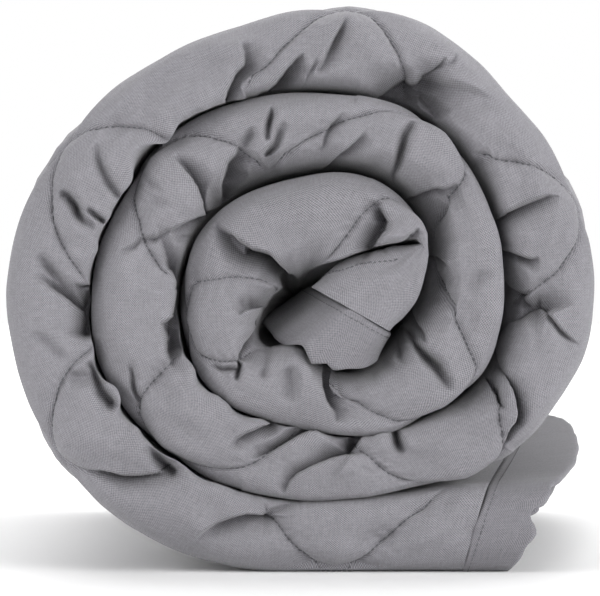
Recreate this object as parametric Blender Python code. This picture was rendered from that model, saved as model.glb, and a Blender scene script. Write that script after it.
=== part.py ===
"""A weighted blanket, folded in four along its length and rolled up.

Metres, +Z up. The roll's axis runs along Y and its folded end faces -Y. The blanket lies on the floor
(z = 0) from its loose end at +X, and is wound clockwise as seen from -Y. A place on the roll is given by
its turn angle, in degrees wound on from straight below the centre, and its distance from the centre.
"""

from math import cos, exp, hypot, pi, radians, sin, sqrt
from typing import NamedTuple

import bmesh
import bpy

MM = 0.001

# Driving sizes, in millimetres.
ROLL_LENGTH = 457.0  # a quarter of the flat blanket's 1829
CENTRE_HEIGHT = 108.0
CENTRE_SIDEWAYS = -12.64  # from the middle of the whole thing to the roll's centre, along X
LAYER_GAP = 1.2  # from one turn to the next
PIECE_GAP = 0.3  # from the quilted body to a binding
NOSE_DEPTH = 20.0  # how far the rounded fold reaches back from its crest
LOBE_DEPTH = 5.0  # of the rounded edges at the plain end
DEEP_FROM_FOLD = 60.0  # behind the fold the core closes up
EDGE_ROUND = 4.0
QUILT_PITCH = 110.0  # from one stitch line to the next that leans the same way
STITCH_DEPTH = 4.6
STITCH_SPREAD = 7.0
FACE_STITCH_SHARE = 0.85  # of the stitch depth, away from the fold
LOOSE_SKEW = 44.0  # how far the loose end slants out along the roll
LOOSE_LIFT = 13.0  # how far its upper layers rise against the roll at the plain end
LOOSE_WIDTH_FLOOR = 15.0
LOOSE_WIDTH_TOP = 24.0
LEAVES = 4
LEAF_DEPTH = 5.6
CORE_BAND_WIDTH = 19.0
CORE_SHUT = 2.6  # how far the crease in the core steps aside, deep in the roll
HIDDEN_FROM = 335.0  # turn angle past which the outer face lies under the next turn
HIDDEN_REACH = 60.0  # round the fold, over which the hidden face turns plain
FLOOR_ANGLE = 30.0  # the turn angles given to the stretch on the floor
FLAT_ANGLE = 12.0  # turn angle up to which the outer face is flat on the floor
CREASE_NEAR = 40.0  # degrees either side in which a crease is looked for

# How finely the surfaces are laid out.
STATION_STEP = 3.4
FLOOR_STATIONS = 16
NOSE_POINTS = 22
OUTER_ROWS = 44
END_POINTS = 12
INNER_ROWS = 9
BODY_TRIANGLE_SHARE = 0.16  # of the laid-out triangles, kept where the form bends
BAND_SECTIONS = 22

CLOTH_GREY = (0.235, 0.229, 0.245, 1.0)
BINDING_GREY = (0.215, 0.209, 0.226, 1.0)


class Turn(NamedTuple):
    """One section of the wound strip: its turn angle and the radius of its outer face."""

    angle: float
    radius: float


class Core(NamedTuple):
    """The inner face of the last turn, which has no turn inside it: at the fold, and deep in the roll."""

    angle: float
    radius: float
    deep_radius: float


class Lap(NamedTuple):
    """One section of the inner end, folded back on itself: outer point, then inner point, in X and Z."""

    outer_x: float
    outer_z: float
    inner_x: float
    inner_z: float


class Floor(NamedTuple):
    """The stretch that lies on the floor: its distance along X and the height of its top."""

    x: float
    top: float


class Stitch(NamedTuple):
    """A quilting line where it crosses the fold: its turn angles at the inner and the outer edge."""

    inner: float
    outer: float


class Crease(NamedTuple):
    """A main crease in the fold: where it starts and ends, its half width and its depth."""

    start_angle: float
    start_radius: float
    end_angle: float
    end_radius: float
    spread: float
    depth: float


TURNS = (
    Turn(0, 108.0), Turn(8, 109.1), Turn(15, 109.9), Turn(30, 112.0), Turn(45, 114.4), Turn(60, 116.4),
    Turn(75, 116.2), Turn(90, 117.6), Turn(105, 116.8), Turn(120, 114.8), Turn(135, 112.4), Turn(150, 112.0),
    Turn(165, 112.4), Turn(180, 116.4), Turn(195, 120.4), Turn(203, 121.2), Turn(210, 120.0), Turn(225, 116.8),
    Turn(240, 116.8), Turn(255, 118.2), Turn(270, 117.2), Turn(280, 116.4), Turn(293, 109.2), Turn(300, 106.0),
    Turn(308, 102.0), Turn(315, 96.5), Turn(330, 84.4), Turn(345, 80.4), Turn(360, 78.8), Turn(375, 79.0),
    Turn(390, 80.4), Turn(405, 81.6), Turn(420, 82.8), Turn(435, 84.4), Turn(450, 83.4), Turn(465, 83.0),
    Turn(480, 82.0), Turn(495, 84.6), Turn(510, 84.0), Turn(525, 82.8), Turn(540, 82.8), Turn(555, 84.2),
    Turn(570, 87.6), Turn(585, 87.0), Turn(600, 83.6), Turn(615, 81.2), Turn(630, 80.0), Turn(645, 79.0),
    Turn(660, 75.2), Turn(675, 67.0), Turn(690, 61.4), Turn(705, 55.0), Turn(720, 50.8), Turn(735, 49.6),
    Turn(750, 50.2), Turn(765, 50.6), Turn(780, 50.4), Turn(795, 48.8), Turn(810, 48.0), Turn(825, 48.4),
    Turn(840, 49.2), Turn(855, 49.0), Turn(870, 48.8), Turn(885, 48.8), Turn(900, 50.6), Turn(915, 54.4),
    Turn(930, 57.6), Turn(945, 58.6), Turn(960, 57.6), Turn(975, 51.6), Turn(990, 46.0), Turn(1005, 40.4),
    Turn(1020, 37.2), Turn(1035, 36.6), Turn(1045, 34.0), Turn(1055, 30.0),
)
LAST_FULL_TURN = 963.0

CORE = (
    Core(695, 29.0, 29.0), Core(705, 25.0, 25.0), Core(712, 20.5, 20.5), Core(720, 18.0, 18.0),
    Core(735, 18.4, 18.0), Core(745, 21.0, 19.0), Core(755, 26.0, 21.5), Core(768, 26.0, 20.0),
    Core(781, 20.8, 17.2), Core(799, 15.2, 6.6), Core(819, 12.4, 4.6), Core(844, 10.0, 3.8),
    Core(858, 13.5, 3.8), Core(870, 12.8, 4.0), Core(885, 9.6, 4.4), Core(900, 8.8, 5.2),
    Core(925, 14.2, 11.6), Core(945, 23.6, 21.2), Core(955, 36.8, 35.4), Core(960, 46.2, 45.6),
    Core(963, 52.5, 52.5),
)

LAPS = (
    Lap(51.4, 127.5, 49.0, 129.4), Lap(50.2, 120.0, 41.0, 128.2), Lap(46.8, 109.0, 29.5, 126.2),
    Lap(41.4, 100.6, 16.4, 122.6), Lap(35.6, 95.2, 4.4, 113.2),
)
CORE_END = Lap(25.8, 80.8, -13.6, 100.8)

FLOOR_RUN = (Floor(0.0, 29.0), Floor(20.0, 29.2), Floor(40.0, 31.2), Floor(56.0, 34.0), Floor(72.0, 34.4))
LOOSE_EDGE_FLOOR = 66.0
LOOSE_EDGE_TOP = 76.0

STITCHES = (
    Stitch(11, -3), Stitch(37, 53), Stitch(78, 62), Stitch(94, 119), Stitch(142, 126), Stitch(165, 184),
    Stitch(208, 195), Stitch(229, 245), Stitch(271, 257), Stitch(293, 307), Stitch(341, 328), Stitch(360, 389),
    Stitch(427, 415), Stitch(460, 480), Stitch(526, 507), Stitch(528, 568), Stitch(602, 591), Stitch(619, 654),
    Stitch(696, 681), Stitch(761, 780), Stitch(836, 821), Stitch(932, 940),
)

CREASES = (
    Crease(10, 86, 24, 105, 5, 4), Crease(37, 84, 48, 105, 4, 6), Crease(66, 86, 72, 100, 5, 4),
    Crease(94, 89, 94, 108, 4, 5), Crease(110, 84, 113, 108, 4, 7), Crease(120, 84, 128, 105, 4, 5),
    Crease(158, 84, 167, 108, 6, 7), Crease(184, 88, 188, 112, 4, 6), Crease(205, 86, 210, 112, 6, 9),
    Crease(246, 84, 248, 114, 8, 5), Crease(271, 82, 279, 116, 6, 10), Crease(291, 79, 305, 101, 5, 7),
    Crease(298, 80, 299, 94, 3, 8), Crease(341, 66, 331, 84, 5, 7), Crease(365, 78, 362, 70, 5, 5),
    Crease(375, 50, 387, 64, 5, 6), Crease(429, 82, 424, 58, 5, 7), Crease(478, 82, 488, 60, 5, 6),
    Crease(492, 51, 498, 76, 4, 7), Crease(526, 60, 532, 78, 5, 6), Crease(548, 54, 560, 72, 6, 6),
    Crease(572, 86, 580, 60, 5, 8), Crease(586, 60, 593, 80, 5, 6), Crease(622, 78, 628, 68, 6, 4),
    Crease(653, 48, 660, 72, 5, 9), Crease(681, 64, 694, 36, 5, 9), Crease(706, 56, 703, 38, 6, 6),
    Crease(745, 34, 756, 46, 6, 5), Crease(758, 28, 758, 42, 4, 12), Crease(767, 36, 775, 26, 4, 7),
    Crease(838, 33, 855, 32, 4, 6), Crease(851, 46, 866, 16, 5, 12), Crease(938, 52, 952, 36, 4, 8),
)


def along(rows, place, column=1):
    """A smooth curve through one column of the rows, read at a place on their first."""
    last = len(rows) - 1
    at = next((i for i in range(last) if place <= rows[i + 1][0]), last - 1)
    before, start, end, after = (rows[max(0, min(last, at + k))] for k in (-1, 0, 1, 2))
    span = end[0] - start[0]
    t = min(1.0, max(0.0, (place - start[0]) / span))
    rise_in = (end[column] - before[column]) / (end[0] - before[0]) * span
    rise_out = (after[column] - start[column]) / (after[0] - start[0]) * span
    return (
        (2 * t**3 - 3 * t**2 + 1) * start[column]
        + (t**3 - 2 * t**2 + t) * rise_in
        + (3 * t**2 - 2 * t**3) * end[column]
        + (t**3 - t**2) * rise_out
    )


def on_roll(angle, radius):
    """X and Z of a place on the roll."""
    turn = radians(angle)
    return -sin(turn) * radius, CENTRE_HEIGHT - cos(turn) * radius


def inner_radius(angle):
    """Where the strip's inner face lies: on the next turn in, or on the open core."""
    if angle < CORE[0].angle:
        return along(TURNS, angle + 360) + LAYER_GAP
    return along(CORE, angle)


class Station(NamedTuple):
    """A section of the strip: its turn angle, its distance along the cloth and its edges in X and Z."""

    angle: float
    run: float
    outer: tuple
    inner: tuple
    deep: tuple


def floor_station(share):
    """A section of the stretch on the floor, from straight below the centre to the loose end's binding."""
    x = LOOSE_EDGE_TOP * share
    foot = (LOOSE_EDGE_FLOOR - PIECE_GAP) * share
    top = (x - PIECE_GAP * share, along(FLOOR_RUN, x))
    return Station(-share * FLOOR_ANGLE, -foot, (foot, 0.0), top, top)


def stations():
    """Every section of the strip, from the loose end to the inner end."""
    found = [floor_station(1 - i / FLOOR_STATIONS) for i in range(FLOOR_STATIONS)]
    angle, run = 0.0, 0.0
    while angle < LAST_FULL_TURN:
        outer_radius, inside = along(TURNS, angle), inner_radius(angle)
        deep = along(CORE, angle, column=2) if angle >= CORE[0].angle else inside
        edges = (on_roll(angle, radius) for radius in (outer_radius, inside, deep))
        found.append(Station(angle, run, *edges))
        middle = (outer_radius + inside) / 2
        angle += STATION_STEP / radians(1) / max(middle, STATION_STEP * 7)
        run += STATION_STEP
    laps = (*LAPS[:-1], shortened(LAPS[-1]))
    for before, lap in zip(laps, laps[1:]):
        pieces = 4
        for k in range(pieces):
            share = (k + 0.5) / pieces
            mixed = [a + (b - a) * share for a, b in zip(before, lap)]
            run += hypot(lap[0] - before[0] + lap[2] - before[2], lap[1] - before[1] + lap[3] - before[3]) / 8
            angle += 4
            found.append(lap_station(angle, run, mixed))
    found.append(lap_station(angle + 4, run + 2, laps[-1]))
    return found


def lap_station(angle, run, lap):
    """A section of the inner end; deep in the roll its inner edge steps back, so that the core shuts."""
    outer, inner = tuple(lap[:2]), tuple(lap[2:])
    thickness = hypot(outer[0] - inner[0], outer[1] - inner[1])
    step = min(CORE_SHUT, 0.08 * thickness) / thickness
    deep = tuple(i + (o - i) * step for o, i in zip(outer, inner))
    return Station(angle, run, outer, inner, deep)


def shortened(lap):
    """The inner end's last section, drawn back by the gap to its binding."""
    share = PIECE_GAP / CORE_BAND_WIDTH
    return Lap(*(a + (a - b) * share for a, b in zip(lap, CORE_END)))


def stitch_lines(sections):
    """Each quilting line as its distance along the cloth at the fold's crest and which way it leans."""
    def run_at(angle):
        nearest = min(sections, key=lambda s: abs(s.angle - angle))
        return nearest.run
    lines = [(run_at((s.inner + s.outer) / 2), 1 if s.outer > s.inner else -1) for s in STITCHES]
    for lean in (1, -1):
        first = min(run for run, way in lines if way == lean)
        last = max(run for run, way in lines if way == lean)
        lines += [(first - QUILT_PITCH * k, lean) for k in range(1, 6)]
        lines += [(last + QUILT_PITCH * k, lean) for k in range(1, 6)]
    return lines


def stitch_hollow(run, reach, lines):
    """How deep the quilting draws the cloth in, at a distance along it and round its fold."""
    nearest = min(abs(run - at - lean * reach) for at, lean in lines) / sqrt(2)
    return STITCH_DEPTH * exp(-((nearest / STITCH_SPREAD) ** 2))


def crease_hollow(angle, x, z):
    """How deep the main creases press the fold back."""
    deepest = 0.0
    for crease in CREASES:
        low, high = sorted((crease.start_angle, crease.end_angle))
        if not low - CREASE_NEAR < angle < high + CREASE_NEAR:
            continue
        ax, az = on_roll(crease.start_angle, crease.start_radius)
        bx, bz = on_roll(crease.end_angle, crease.end_radius)
        span = (bx - ax) ** 2 + (bz - az) ** 2
        share = min(1.0, max(0.0, ((x - ax) * (bx - ax) + (z - az) * (bz - az)) / span))
        away = hypot(x - ax - share * (bx - ax), z - az - share * (bz - az))
        deepest = max(deepest, crease.depth * exp(-((away / crease.spread) ** 2)))
    return deepest


def smooth_step(share):
    """From 0 to 1, level at both ends."""
    share = min(1.0, max(0.0, share))
    return share * share * (3 - 2 * share)


def lobes(across):
    """The plain end's outline: the blanket's first fold, then its two hemmed edges, from 0 to LOBE_DEPTH."""
    lobe = across if across > 0 else (abs(across) * 2) % 1.0 if across > -1 else 1.0
    return LOBE_DEPTH * (1 - sqrt(max(0.0, 1 - (2 * lobe - 1) ** 2)))


def profile(thickness):
    """The strip's section: rows of (across from -1 inside to 1 outside, Y, reach round the fold, on the fold)."""
    front = -ROLL_LENGTH / 2
    depth = min(NOSE_DEPTH, 0.6 * thickness)
    back = ROLL_LENGTH / 2 - LOBE_DEPTH
    quarter = pi / 2 * (depth + thickness / 2) / 2
    rows = []
    for k in range(NOSE_POINTS + 1):
        swing = pi * (k / NOSE_POINTS - 0.5)
        rows.append((sin(swing), front + depth * (1 - cos(swing)), quarter * swing / (pi / 2), 1.0))
    for k in range(1, OUTER_ROWS):
        y = front + depth + (back - front - depth) * k / OUTER_ROWS
        rows.append((1.0, y, quarter + y - front - depth, 0.0))
    for k in range(END_POINTS + 1):
        across = 1 - 2 * k / END_POINTS
        y = back + LOBE_DEPTH - lobes(across)
        rows.append((across, y, quarter + back - front, 0.0))
    for k in range(1, INNER_ROWS):
        y = back - (back - front - depth) * k / INNER_ROWS
        rows.append((-1.0, y, -quarter - (y - front - depth), 0.0))
    return rows


def body_ring(section, lines):
    """The points of one section, drawn in along the quilting and the creases."""
    (ox, oz), (ix, iz), (dx, dz) = section.outer, section.inner, section.deep
    thickness = hypot(ox - ix, oz - iz)
    ring = []
    for across, y, reach, fold in profile(thickness):
        share = (across + 1) / 2
        sunk = smooth_step((y + ROLL_LENGTH / 2 - NOSE_DEPTH) / DEEP_FROM_FOLD)
        jx, jz = ix + (dx - ix) * sunk, iz + (dz - iz) * sunk
        x, z = jx + (ox - jx) * share, jz + (oz - jz) * share
        inward, back = 0.0, 0.0
        fade = min(1.0, max(0.0, (ROLL_LENGTH / 2 - y) / 30))
        if fold:
            slope = sqrt(max(0.0, 1 - across**2))
            hollow = stitch_hollow(section.run, reach, lines)
            back = slope * hollow + max(slope, 0.35) * crease_hollow(section.angle, x, z)
            back = min(back, 0.45 * thickness)
            inward = (1 - slope) * hollow * FACE_STITCH_SHARE if across > 0 else 0.0
        elif across == 1.0:
            hidden = smooth_step(reach / HIDDEN_REACH - 1) if section.angle > HIDDEN_FROM else 0.0
            inward = stitch_hollow(section.run, reach, lines) * FACE_STITCH_SHARE * fade * (1 - hidden)
        on_floor = section.angle < FLAT_ANGLE
        if on_floor and across > 0.9:
            inward = 0.0
        inward = min(inward, 0.3 * thickness)
        x += (ix - ox) / thickness * inward
        z += (iz - oz) / thickness * inward
        if section.angle < 0:
            along_roll, out = y / ROLL_LENGTH + 0.5, -section.angle / FLOOR_ANGLE
            x += LOOSE_SKEW * out * along_roll
            z += LOOSE_LIFT * out**2 * along_roll * (1 - share)
        ring.append((x * MM, (y + back) * MM, max(0.0, z) * MM))
    return ring


def material(name, colour, roughness):
    """A plain woven cotton."""
    made = bpy.data.materials.new(name)
    made.use_nodes = True
    shader = made.node_tree.nodes["Principled BSDF"]
    shader.inputs["Base Color"].default_value = colour
    shader.inputs["Roughness"].default_value = roughness
    shader.inputs["Metallic"].default_value = 0.0
    return made


def lofted(name, rings, finish):
    """One closed object through rings of equal counts, capped at both ends."""
    count = len(rings[0])
    points = [point for ring in rings for point in ring]
    faces = [tuple(reversed(range(count))), tuple(range(len(points) - count, len(points)))]
    for i in range(len(rings) - 1):
        for k in range(count):
            after = (k + 1) % count
            faces.append((i * count + k, i * count + after, (i + 1) * count + after, (i + 1) * count + k))
    mesh = bpy.data.meshes.new(name)
    mesh.from_pydata(points, [], faces)
    mesh.materials.append(finish)
    mesh.validate()
    mesh.shade_smooth()
    made = bpy.data.objects.new(name, mesh)
    bpy.context.scene.collection.objects.link(made)
    return made


def quilted_body(finish):
    """The strip of quilted cloth, four layers thick, in its wound form."""
    sections = stations()
    lines = stitch_lines(sections)
    body = lofted("quilted_body", [body_ring(section, lines) for section in sections], finish)
    fewer = body.modifiers.new("fewer_triangles", "DECIMATE")
    fewer.decimate_type = "COLLAPSE"
    fewer.ratio = BODY_TRIANGLE_SHARE
    fewer.use_collapse_triangulate = True
    return body


def band_depths():
    """Places along Y for a band's sections, closer on the rounded fold, with the share of full thickness."""
    front = -ROLL_LENGTH / 2
    rows = []
    for k in range(1, 8):
        swing = pi / 2 * k / 7
        rows.append((front + NOSE_DEPTH * (1 - cos(swing)), sin(swing)))
    straight = BAND_SECTIONS - 8
    reach = ROLL_LENGTH - NOSE_DEPTH - EDGE_ROUND
    rows += [(front + NOSE_DEPTH + reach * k / straight, 1.0) for k in range(1, straight + 1)]
    rows.append((ROLL_LENGTH / 2, 0.86))
    return rows


def ruffle(y, leaf):
    """How far a leaf of the loose end waves in and out along the roll."""
    return 2.2 * sin(y / 27 + 1.9 * leaf) + 1.1 * sin(y / 11 + 0.7 * leaf)


def loose_section(y, fullness):
    """A section of the loose end's binding in X and Z: flat on the floor, with four leaves at its rim."""
    along_roll = y / ROLL_LENGTH + 0.5
    skew = LOOSE_SKEW * along_roll
    height = along(FLOOR_RUN, LOOSE_EDGE_TOP)
    low = height / 2 * (1 - fullness)
    high = height - low
    slant = (LOOSE_EDGE_TOP - LOOSE_EDGE_FLOOR) / height
    rise = 1 + LOOSE_LIFT * along_roll / height
    outer_low, outer_top = LOOSE_EDGE_FLOOR + LOOSE_WIDTH_FLOOR, LOOSE_EDGE_TOP + LOOSE_WIDTH_TOP
    points = [(LOOSE_EDGE_FLOOR + slant * z + skew, z * rise) for z in (high, height / 2, low)]
    for leaf in range(LEAVES):
        for part, out in ((0.12, 0.55), (0.5, 1.0), (0.88, 0.55), (1.0, 0.0)):
            up = (leaf + part) / LEAVES
            if up == 1.0:
                continue
            x = outer_low + (outer_top - outer_low) * up + skew
            x += LEAF_DEPTH * (out - 1) + ruffle(y, leaf) * out * fullness
            on_floor = leaf == 0 and part < 0.2
            points.append((x, low if on_floor else low + (high - low) * up))
    points.append(((LOOSE_EDGE_TOP + outer_top) / 2 + skew, high * (1 + (rise - 1) * 0.4)))
    return points


def loose_binding(finish):
    """The unfilled band across the loose end."""
    rings = [
        [(x * MM, y * MM, z * MM) for x, z in loose_section(y, fullness)] for y, fullness in band_depths()
    ]
    return lofted("binding_loose_end", rings, finish)


def core_section(y, fullness):
    """A section of the inner end's binding in X and Z."""
    edge = LAPS[-1]
    middle_x, middle_z = (edge.outer_x + edge.inner_x) / 2, (edge.outer_z + edge.inner_z) / 2
    half_x, half_z = (edge.outer_x - edge.inner_x) / 2, (edge.outer_z - edge.inner_z) / 2
    end_x, end_z = (CORE_END.outer_x + CORE_END.inner_x) / 2, (CORE_END.outer_z + CORE_END.inner_z) / 2
    flare = 1.08
    corners = []
    for across in (1.0, 0.0, -1.0):
        corners.append((middle_x + half_x * across * fullness, middle_z + half_z * across * fullness))
    for across in (-1.0, -0.5, 0.0, 0.5, 1.0):
        wave = 1 + 0.05 * sin(y / 19 + 5 * across)
        x = end_x + half_x * across * fullness * flare
        z = end_z + half_z * across * fullness * flare
        corners.append((middle_x + (x - middle_x) * wave, middle_z + (z - middle_z) * wave))
    return corners


def core_binding(finish):
    """The unfilled band across the inner end."""
    rings = [
        [(x * MM, y * MM, z * MM) for x, z in core_section(y, fullness)] for y, fullness in band_depths()
    ]
    return lofted("binding_inner_end", rings, finish)


def outward(made):
    """Turns an object's faces to point out of it."""
    work = bmesh.new()
    work.from_mesh(made.data)
    bmesh.ops.recalc_face_normals(work, faces=work.faces)
    work.to_mesh(made.data)
    work.free()


for old in list(bpy.data.objects):
    bpy.data.objects.remove(old)
roll_centre = bpy.data.objects.new("roll_centre", None)
bpy.context.scene.collection.objects.link(roll_centre)
roll_centre.location.x = CENTRE_SIDEWAYS * MM
quilted = material("quilted_cotton", CLOTH_GREY, 0.9)
binding = material("binding_cotton", BINDING_GREY, 0.9)
for built in (quilted_body(quilted), loose_binding(binding), core_binding(binding)):
    outward(built)
    built.parent = roll_centre
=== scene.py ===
"""Looks for a quilted weighted blanket, folded in four and rolled up, with its loose end on the floor."""

import logging
from dataclasses import dataclass, field
from enum import Enum, IntEnum
from math import cos, pi, radians, sin, sqrt

import bmesh
import bpy
import numpy as np
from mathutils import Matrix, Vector

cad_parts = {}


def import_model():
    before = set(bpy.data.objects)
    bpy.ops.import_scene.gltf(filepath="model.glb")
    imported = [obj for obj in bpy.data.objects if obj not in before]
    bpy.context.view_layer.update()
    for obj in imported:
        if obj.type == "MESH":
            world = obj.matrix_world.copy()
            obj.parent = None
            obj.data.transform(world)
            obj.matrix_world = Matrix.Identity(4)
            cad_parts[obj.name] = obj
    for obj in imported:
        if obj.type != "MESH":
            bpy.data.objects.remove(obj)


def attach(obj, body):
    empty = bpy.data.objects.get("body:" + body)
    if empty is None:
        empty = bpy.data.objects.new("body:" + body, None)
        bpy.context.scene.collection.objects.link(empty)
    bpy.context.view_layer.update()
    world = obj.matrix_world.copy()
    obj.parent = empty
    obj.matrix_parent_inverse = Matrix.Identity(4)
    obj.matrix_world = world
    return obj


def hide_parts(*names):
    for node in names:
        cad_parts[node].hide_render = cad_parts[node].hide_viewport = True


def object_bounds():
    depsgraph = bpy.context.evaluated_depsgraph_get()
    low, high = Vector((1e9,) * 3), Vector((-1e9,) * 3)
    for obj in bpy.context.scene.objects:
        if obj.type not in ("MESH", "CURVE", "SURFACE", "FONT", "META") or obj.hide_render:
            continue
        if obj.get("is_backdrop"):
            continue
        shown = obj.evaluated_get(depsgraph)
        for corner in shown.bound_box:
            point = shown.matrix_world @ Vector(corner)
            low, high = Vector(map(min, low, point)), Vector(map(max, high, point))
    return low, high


log = logging.getLogger("weighted_blanket")

MM = 0.001
FAR = 1e6
TINY = 1e-9
FULL_TURN = 360
ROOT = "root"
CLOTH = "cloth"

# The wound form in millimetres: turn angle, wound on from straight below the centre, and outer radius.
TURNS = np.array((
    (0, 108.0), (8, 109.1), (15, 109.9), (30, 112.0), (45, 114.6), (60, 117.0), (75, 115.9), (90, 117.4),
    (105, 116.8), (120, 115.4), (135, 113.0), (150, 111.2), (165, 111.8), (172, 113.0), (180, 116.4),
    (188, 119.2), (195, 121.0), (203, 121.4), (210, 120.2), (225, 116.8), (240, 117.6), (255, 119.0),
    (270, 117.4), (280, 116.0), (293, 109.8), (300, 106.8), (308, 103.2), (315, 98.4), (330, 86.0),
    (345, 81.2), (360, 79.0), (375, 79.0), (390, 80.4), (405, 81.6), (420, 82.8), (435, 84.4), (450, 83.4),
    (465, 83.0), (480, 82.0), (495, 84.6), (510, 84.0), (525, 82.8), (540, 82.8), (555, 84.2), (570, 87.6),
    (585, 87.0), (600, 83.6), (615, 81.2), (630, 80.0), (645, 79.0), (660, 75.2), (675, 67.0), (690, 61.4),
    (705, 55.0), (720, 50.8), (735, 49.6), (750, 50.2), (765, 50.6), (780, 50.4), (795, 48.8), (810, 48.0),
    (825, 48.0), (840, 48.4), (855, 48.0), (870, 47.6), (885, 47.6), (900, 49.2), (915, 53.0), (930, 56.3),
    (945, 57.4), (960, 56.4), (975, 50.4), (990, 45.0), (1005, 39.8), (1020, 37.2), (1035, 36.6),
    (1045, 34.0), (1055, 30.0),
))
LAST_FULL_TURN = 963.0

# Turn angles at which the fold's cloth is cut into pieces of a handy size.
FOLD_CUTS = (175, 360, 720)

# The open core: turn angle, radius of the inner face at the fold, and deep in the roll.
CORE = np.array((
    (695, 29.0, 29.0), (705, 25.0, 25.0), (712, 20.5, 20.0), (720, 18.0, 17.0), (735, 18.0, 16.0),
    (745, 19.8, 15.0), (755, 22.6, 14.0), (768, 22.4, 12.0), (781, 18.6, 9.0), (799, 14.2, 4.6),
    (819, 11.0, 3.6), (844, 8.6, 2.8), (858, 11.5, 2.0), (870, 11.8, 1.0), (885, 9.4, 1.0), (900, 8.8, 1.5),
    (925, 14.2, 4.0), (945, 23.6, 8.0), (955, 36.8, 18.0), (960, 46.2, 32.0), (963, 52.5, 46.0),
))

# The inner end, lapped back on itself: X and Z of its outer edge, then of its inner edge.
LAPS = np.array((
    (50.3, 127.5, 48.5, 130.8), (49.0, 120.2, 41.2, 129.6), (45.7, 109.3, 29.5, 127.6),
    (40.6, 101.2, 16.4, 123.4), (35.2, 95.8, 4.4, 113.2), (25.8, 80.8, -13.6, 100.8),
))

# The stretch on the floor: distance along X and height of its top.
FLOOR_RUN = np.array(((0.0, 28.2), (20.0, 29.2), (40.0, 31.2), (56.0, 34.0), (72.0, 34.4), (80.0, 34.4)))

# The fold's section, by turn angle: how square its inner and outer sides are, how far each leans out over the
# gap beside it, and how far back its inner side runs before it meets the next turn, in millimetres. Where the
# inner side leans by less than 0, it stands back and leaves the gap open.
SECTIONS = np.array((
    (-30, 3.0, 2.6, 0.0, 0.0, 20), (0, 3.4, 2.3, 0.2, 0.0, 20), (20, 5.0, 2.0, 0.8, 0.0, 20),
    (50, 8.0, 2.0, 1.0, 0.0, 18), (70, 8.0, 2.0, 0.8, 0.0, 22), (95, 7.0, 2.0, 0.4, 0.0, 32),
    (115, 9.0, 2.0, 0.9, 0.0, 24), (150, 9.0, 2.0, 0.8, 0.0, 22), (165, 5.0, 2.0, 0.0, 0.0, 34),
    (178, 4.0, 2.1, 0.0, 0.0, 36), (195, 3.6, 2.1, 0.0, 0.0, 40), (207, 2.4, 1.9, 0.0, 0.0, 46),
    (224, 3.6, 2.0, -0.6, 0.0, 34), (250, 3.6, 2.0, -1.0, 0.0, 42), (268, 3.0, 2.2, -1.4, 0.0, 46),
    (290, 2.6, 2.4, -1.2, 0.0, 48), (310, 2.8, 4.0, 0.4, 0.2, 24), (335, 5.0, 4.5, 0.8, 0.4, 20),
    (370, 5.0, 3.0, 0.9, 0.2, 20), (400, 7.0, 2.6, 0.9, 0.0, 28), (425, 7.0, 2.0, 0.6, 0.0, 34),
    (455, 6.0, 2.0, 0.0, 0.0, 34), (480, 4.0, 1.9, -0.8, 0.0, 40), (505, 3.2, 1.8, -2.0, 0.0, 44),
    (530, 2.8, 2.2, -2.2, 0.0, 48), (560, 2.6, 3.0, -2.0, 0.2, 48), (580, 2.2, 4.5, -1.6, 0.6, 54),
    (620, 1.9, 6.0, -2.4, 1.0, 62), (660, 2.0, 6.0, -2.4, 1.0, 56), (690, 2.4, 5.0, -1.0, 0.8, 34),
    (715, 2.4, 3.4, 0.0, 0.4, 22), (750, 2.2, 2.6, 0.0, 0.2, 30), (775, 2.6, 2.1, 0.0, 0.0, 46),
    (800, 4.0, 2.0, 0.0, 0.0, 44), (835, 4.6, 2.0, 0.0, 0.0, 44), (862, 3.6, 2.0, 0.0, 0.0, 56),
    (885, 3.4, 2.0, 0.0, 0.0, 60), (905, 2.8, 2.2, 0.0, 0.0, 60), (920, 2.6, 2.4, 0.3, 0.0, 40),
    (945, 4.5, 3.4, 0.6, 0.4, 20), (965, 3.4, 5.0, 0.3, 0.7, 20), (990, 2.4, 5.0, 0.0, 0.7, 20),
    (1100, 1.7, 4.0, 0.0, 0.4, 20),
))

# How far a side that leans out hangs over the gap beside it, besides its lean, in millimetres.
GAP_CLOSED = 1.9

# The row of stitches along the lapped inner end: X and Z.
LAP_STITCHES = ((8.0, 117.3), (13.6, 119.0), (24.8, 122.4), (36.2, 123.7), (41.0, 124.4))

# Where each end's band is sewn on and where it ends: X and Z on the fold's outer side and inner side.
LOOSE_EDGE = ((63.6, 0.0), (73.8, 34.0))
LOOSE_TIP = ((81.0, 0.0), (100.0, 36.4))
INNER_EDGE = ((35.6, 95.2), (4.4, 113.2))
INNER_TIP = ((26.0, 80.8), (-13.6, 100.8))

# Each band's worn edge: across the fold, -1 inside to 1 outside, and how far it stands out, in millimetres.
LOOSE_WORN = (
    (-1, 0.0), (-0.9, -2.0), (-0.74, -0.6), (-0.56, -1.4), (-0.43, -3.4), (-0.23, -3.2), (-0.03, 0.2),
    (0.17, 2.4), (0.45, 1.4), (0.71, 1.6), (0.91, 0.8), (1, 0.0),
)
INNER_WORN = (
    (-1, 0.0), (-0.95, 1.8), (-0.51, 4.2), (-0.21, 1.6), (-0.06, 3.0), (0.1, 5.8), (0.22, 6.0), (0.36, 3.8),
    (0.55, 4.8), (0.72, 2.6), (0.93, -0.4), (1, -5.0),
)

# How the loose end's tip swings outwards along the roll: share of the length from the fold, and of its skew.
TIP_SWING = np.array((
    (0.0, 0.0), (0.1, 0.15), (0.25, 0.34), (0.5, 0.56), (0.75, 0.69), (0.9, 0.66), (1.0, 0.52),
))

# A crease fades out towards its far end: the share of its path where it is gone, and how much of it fades.
FADED_AT = 1.04
FADE_LENGTH = 0.16


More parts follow.
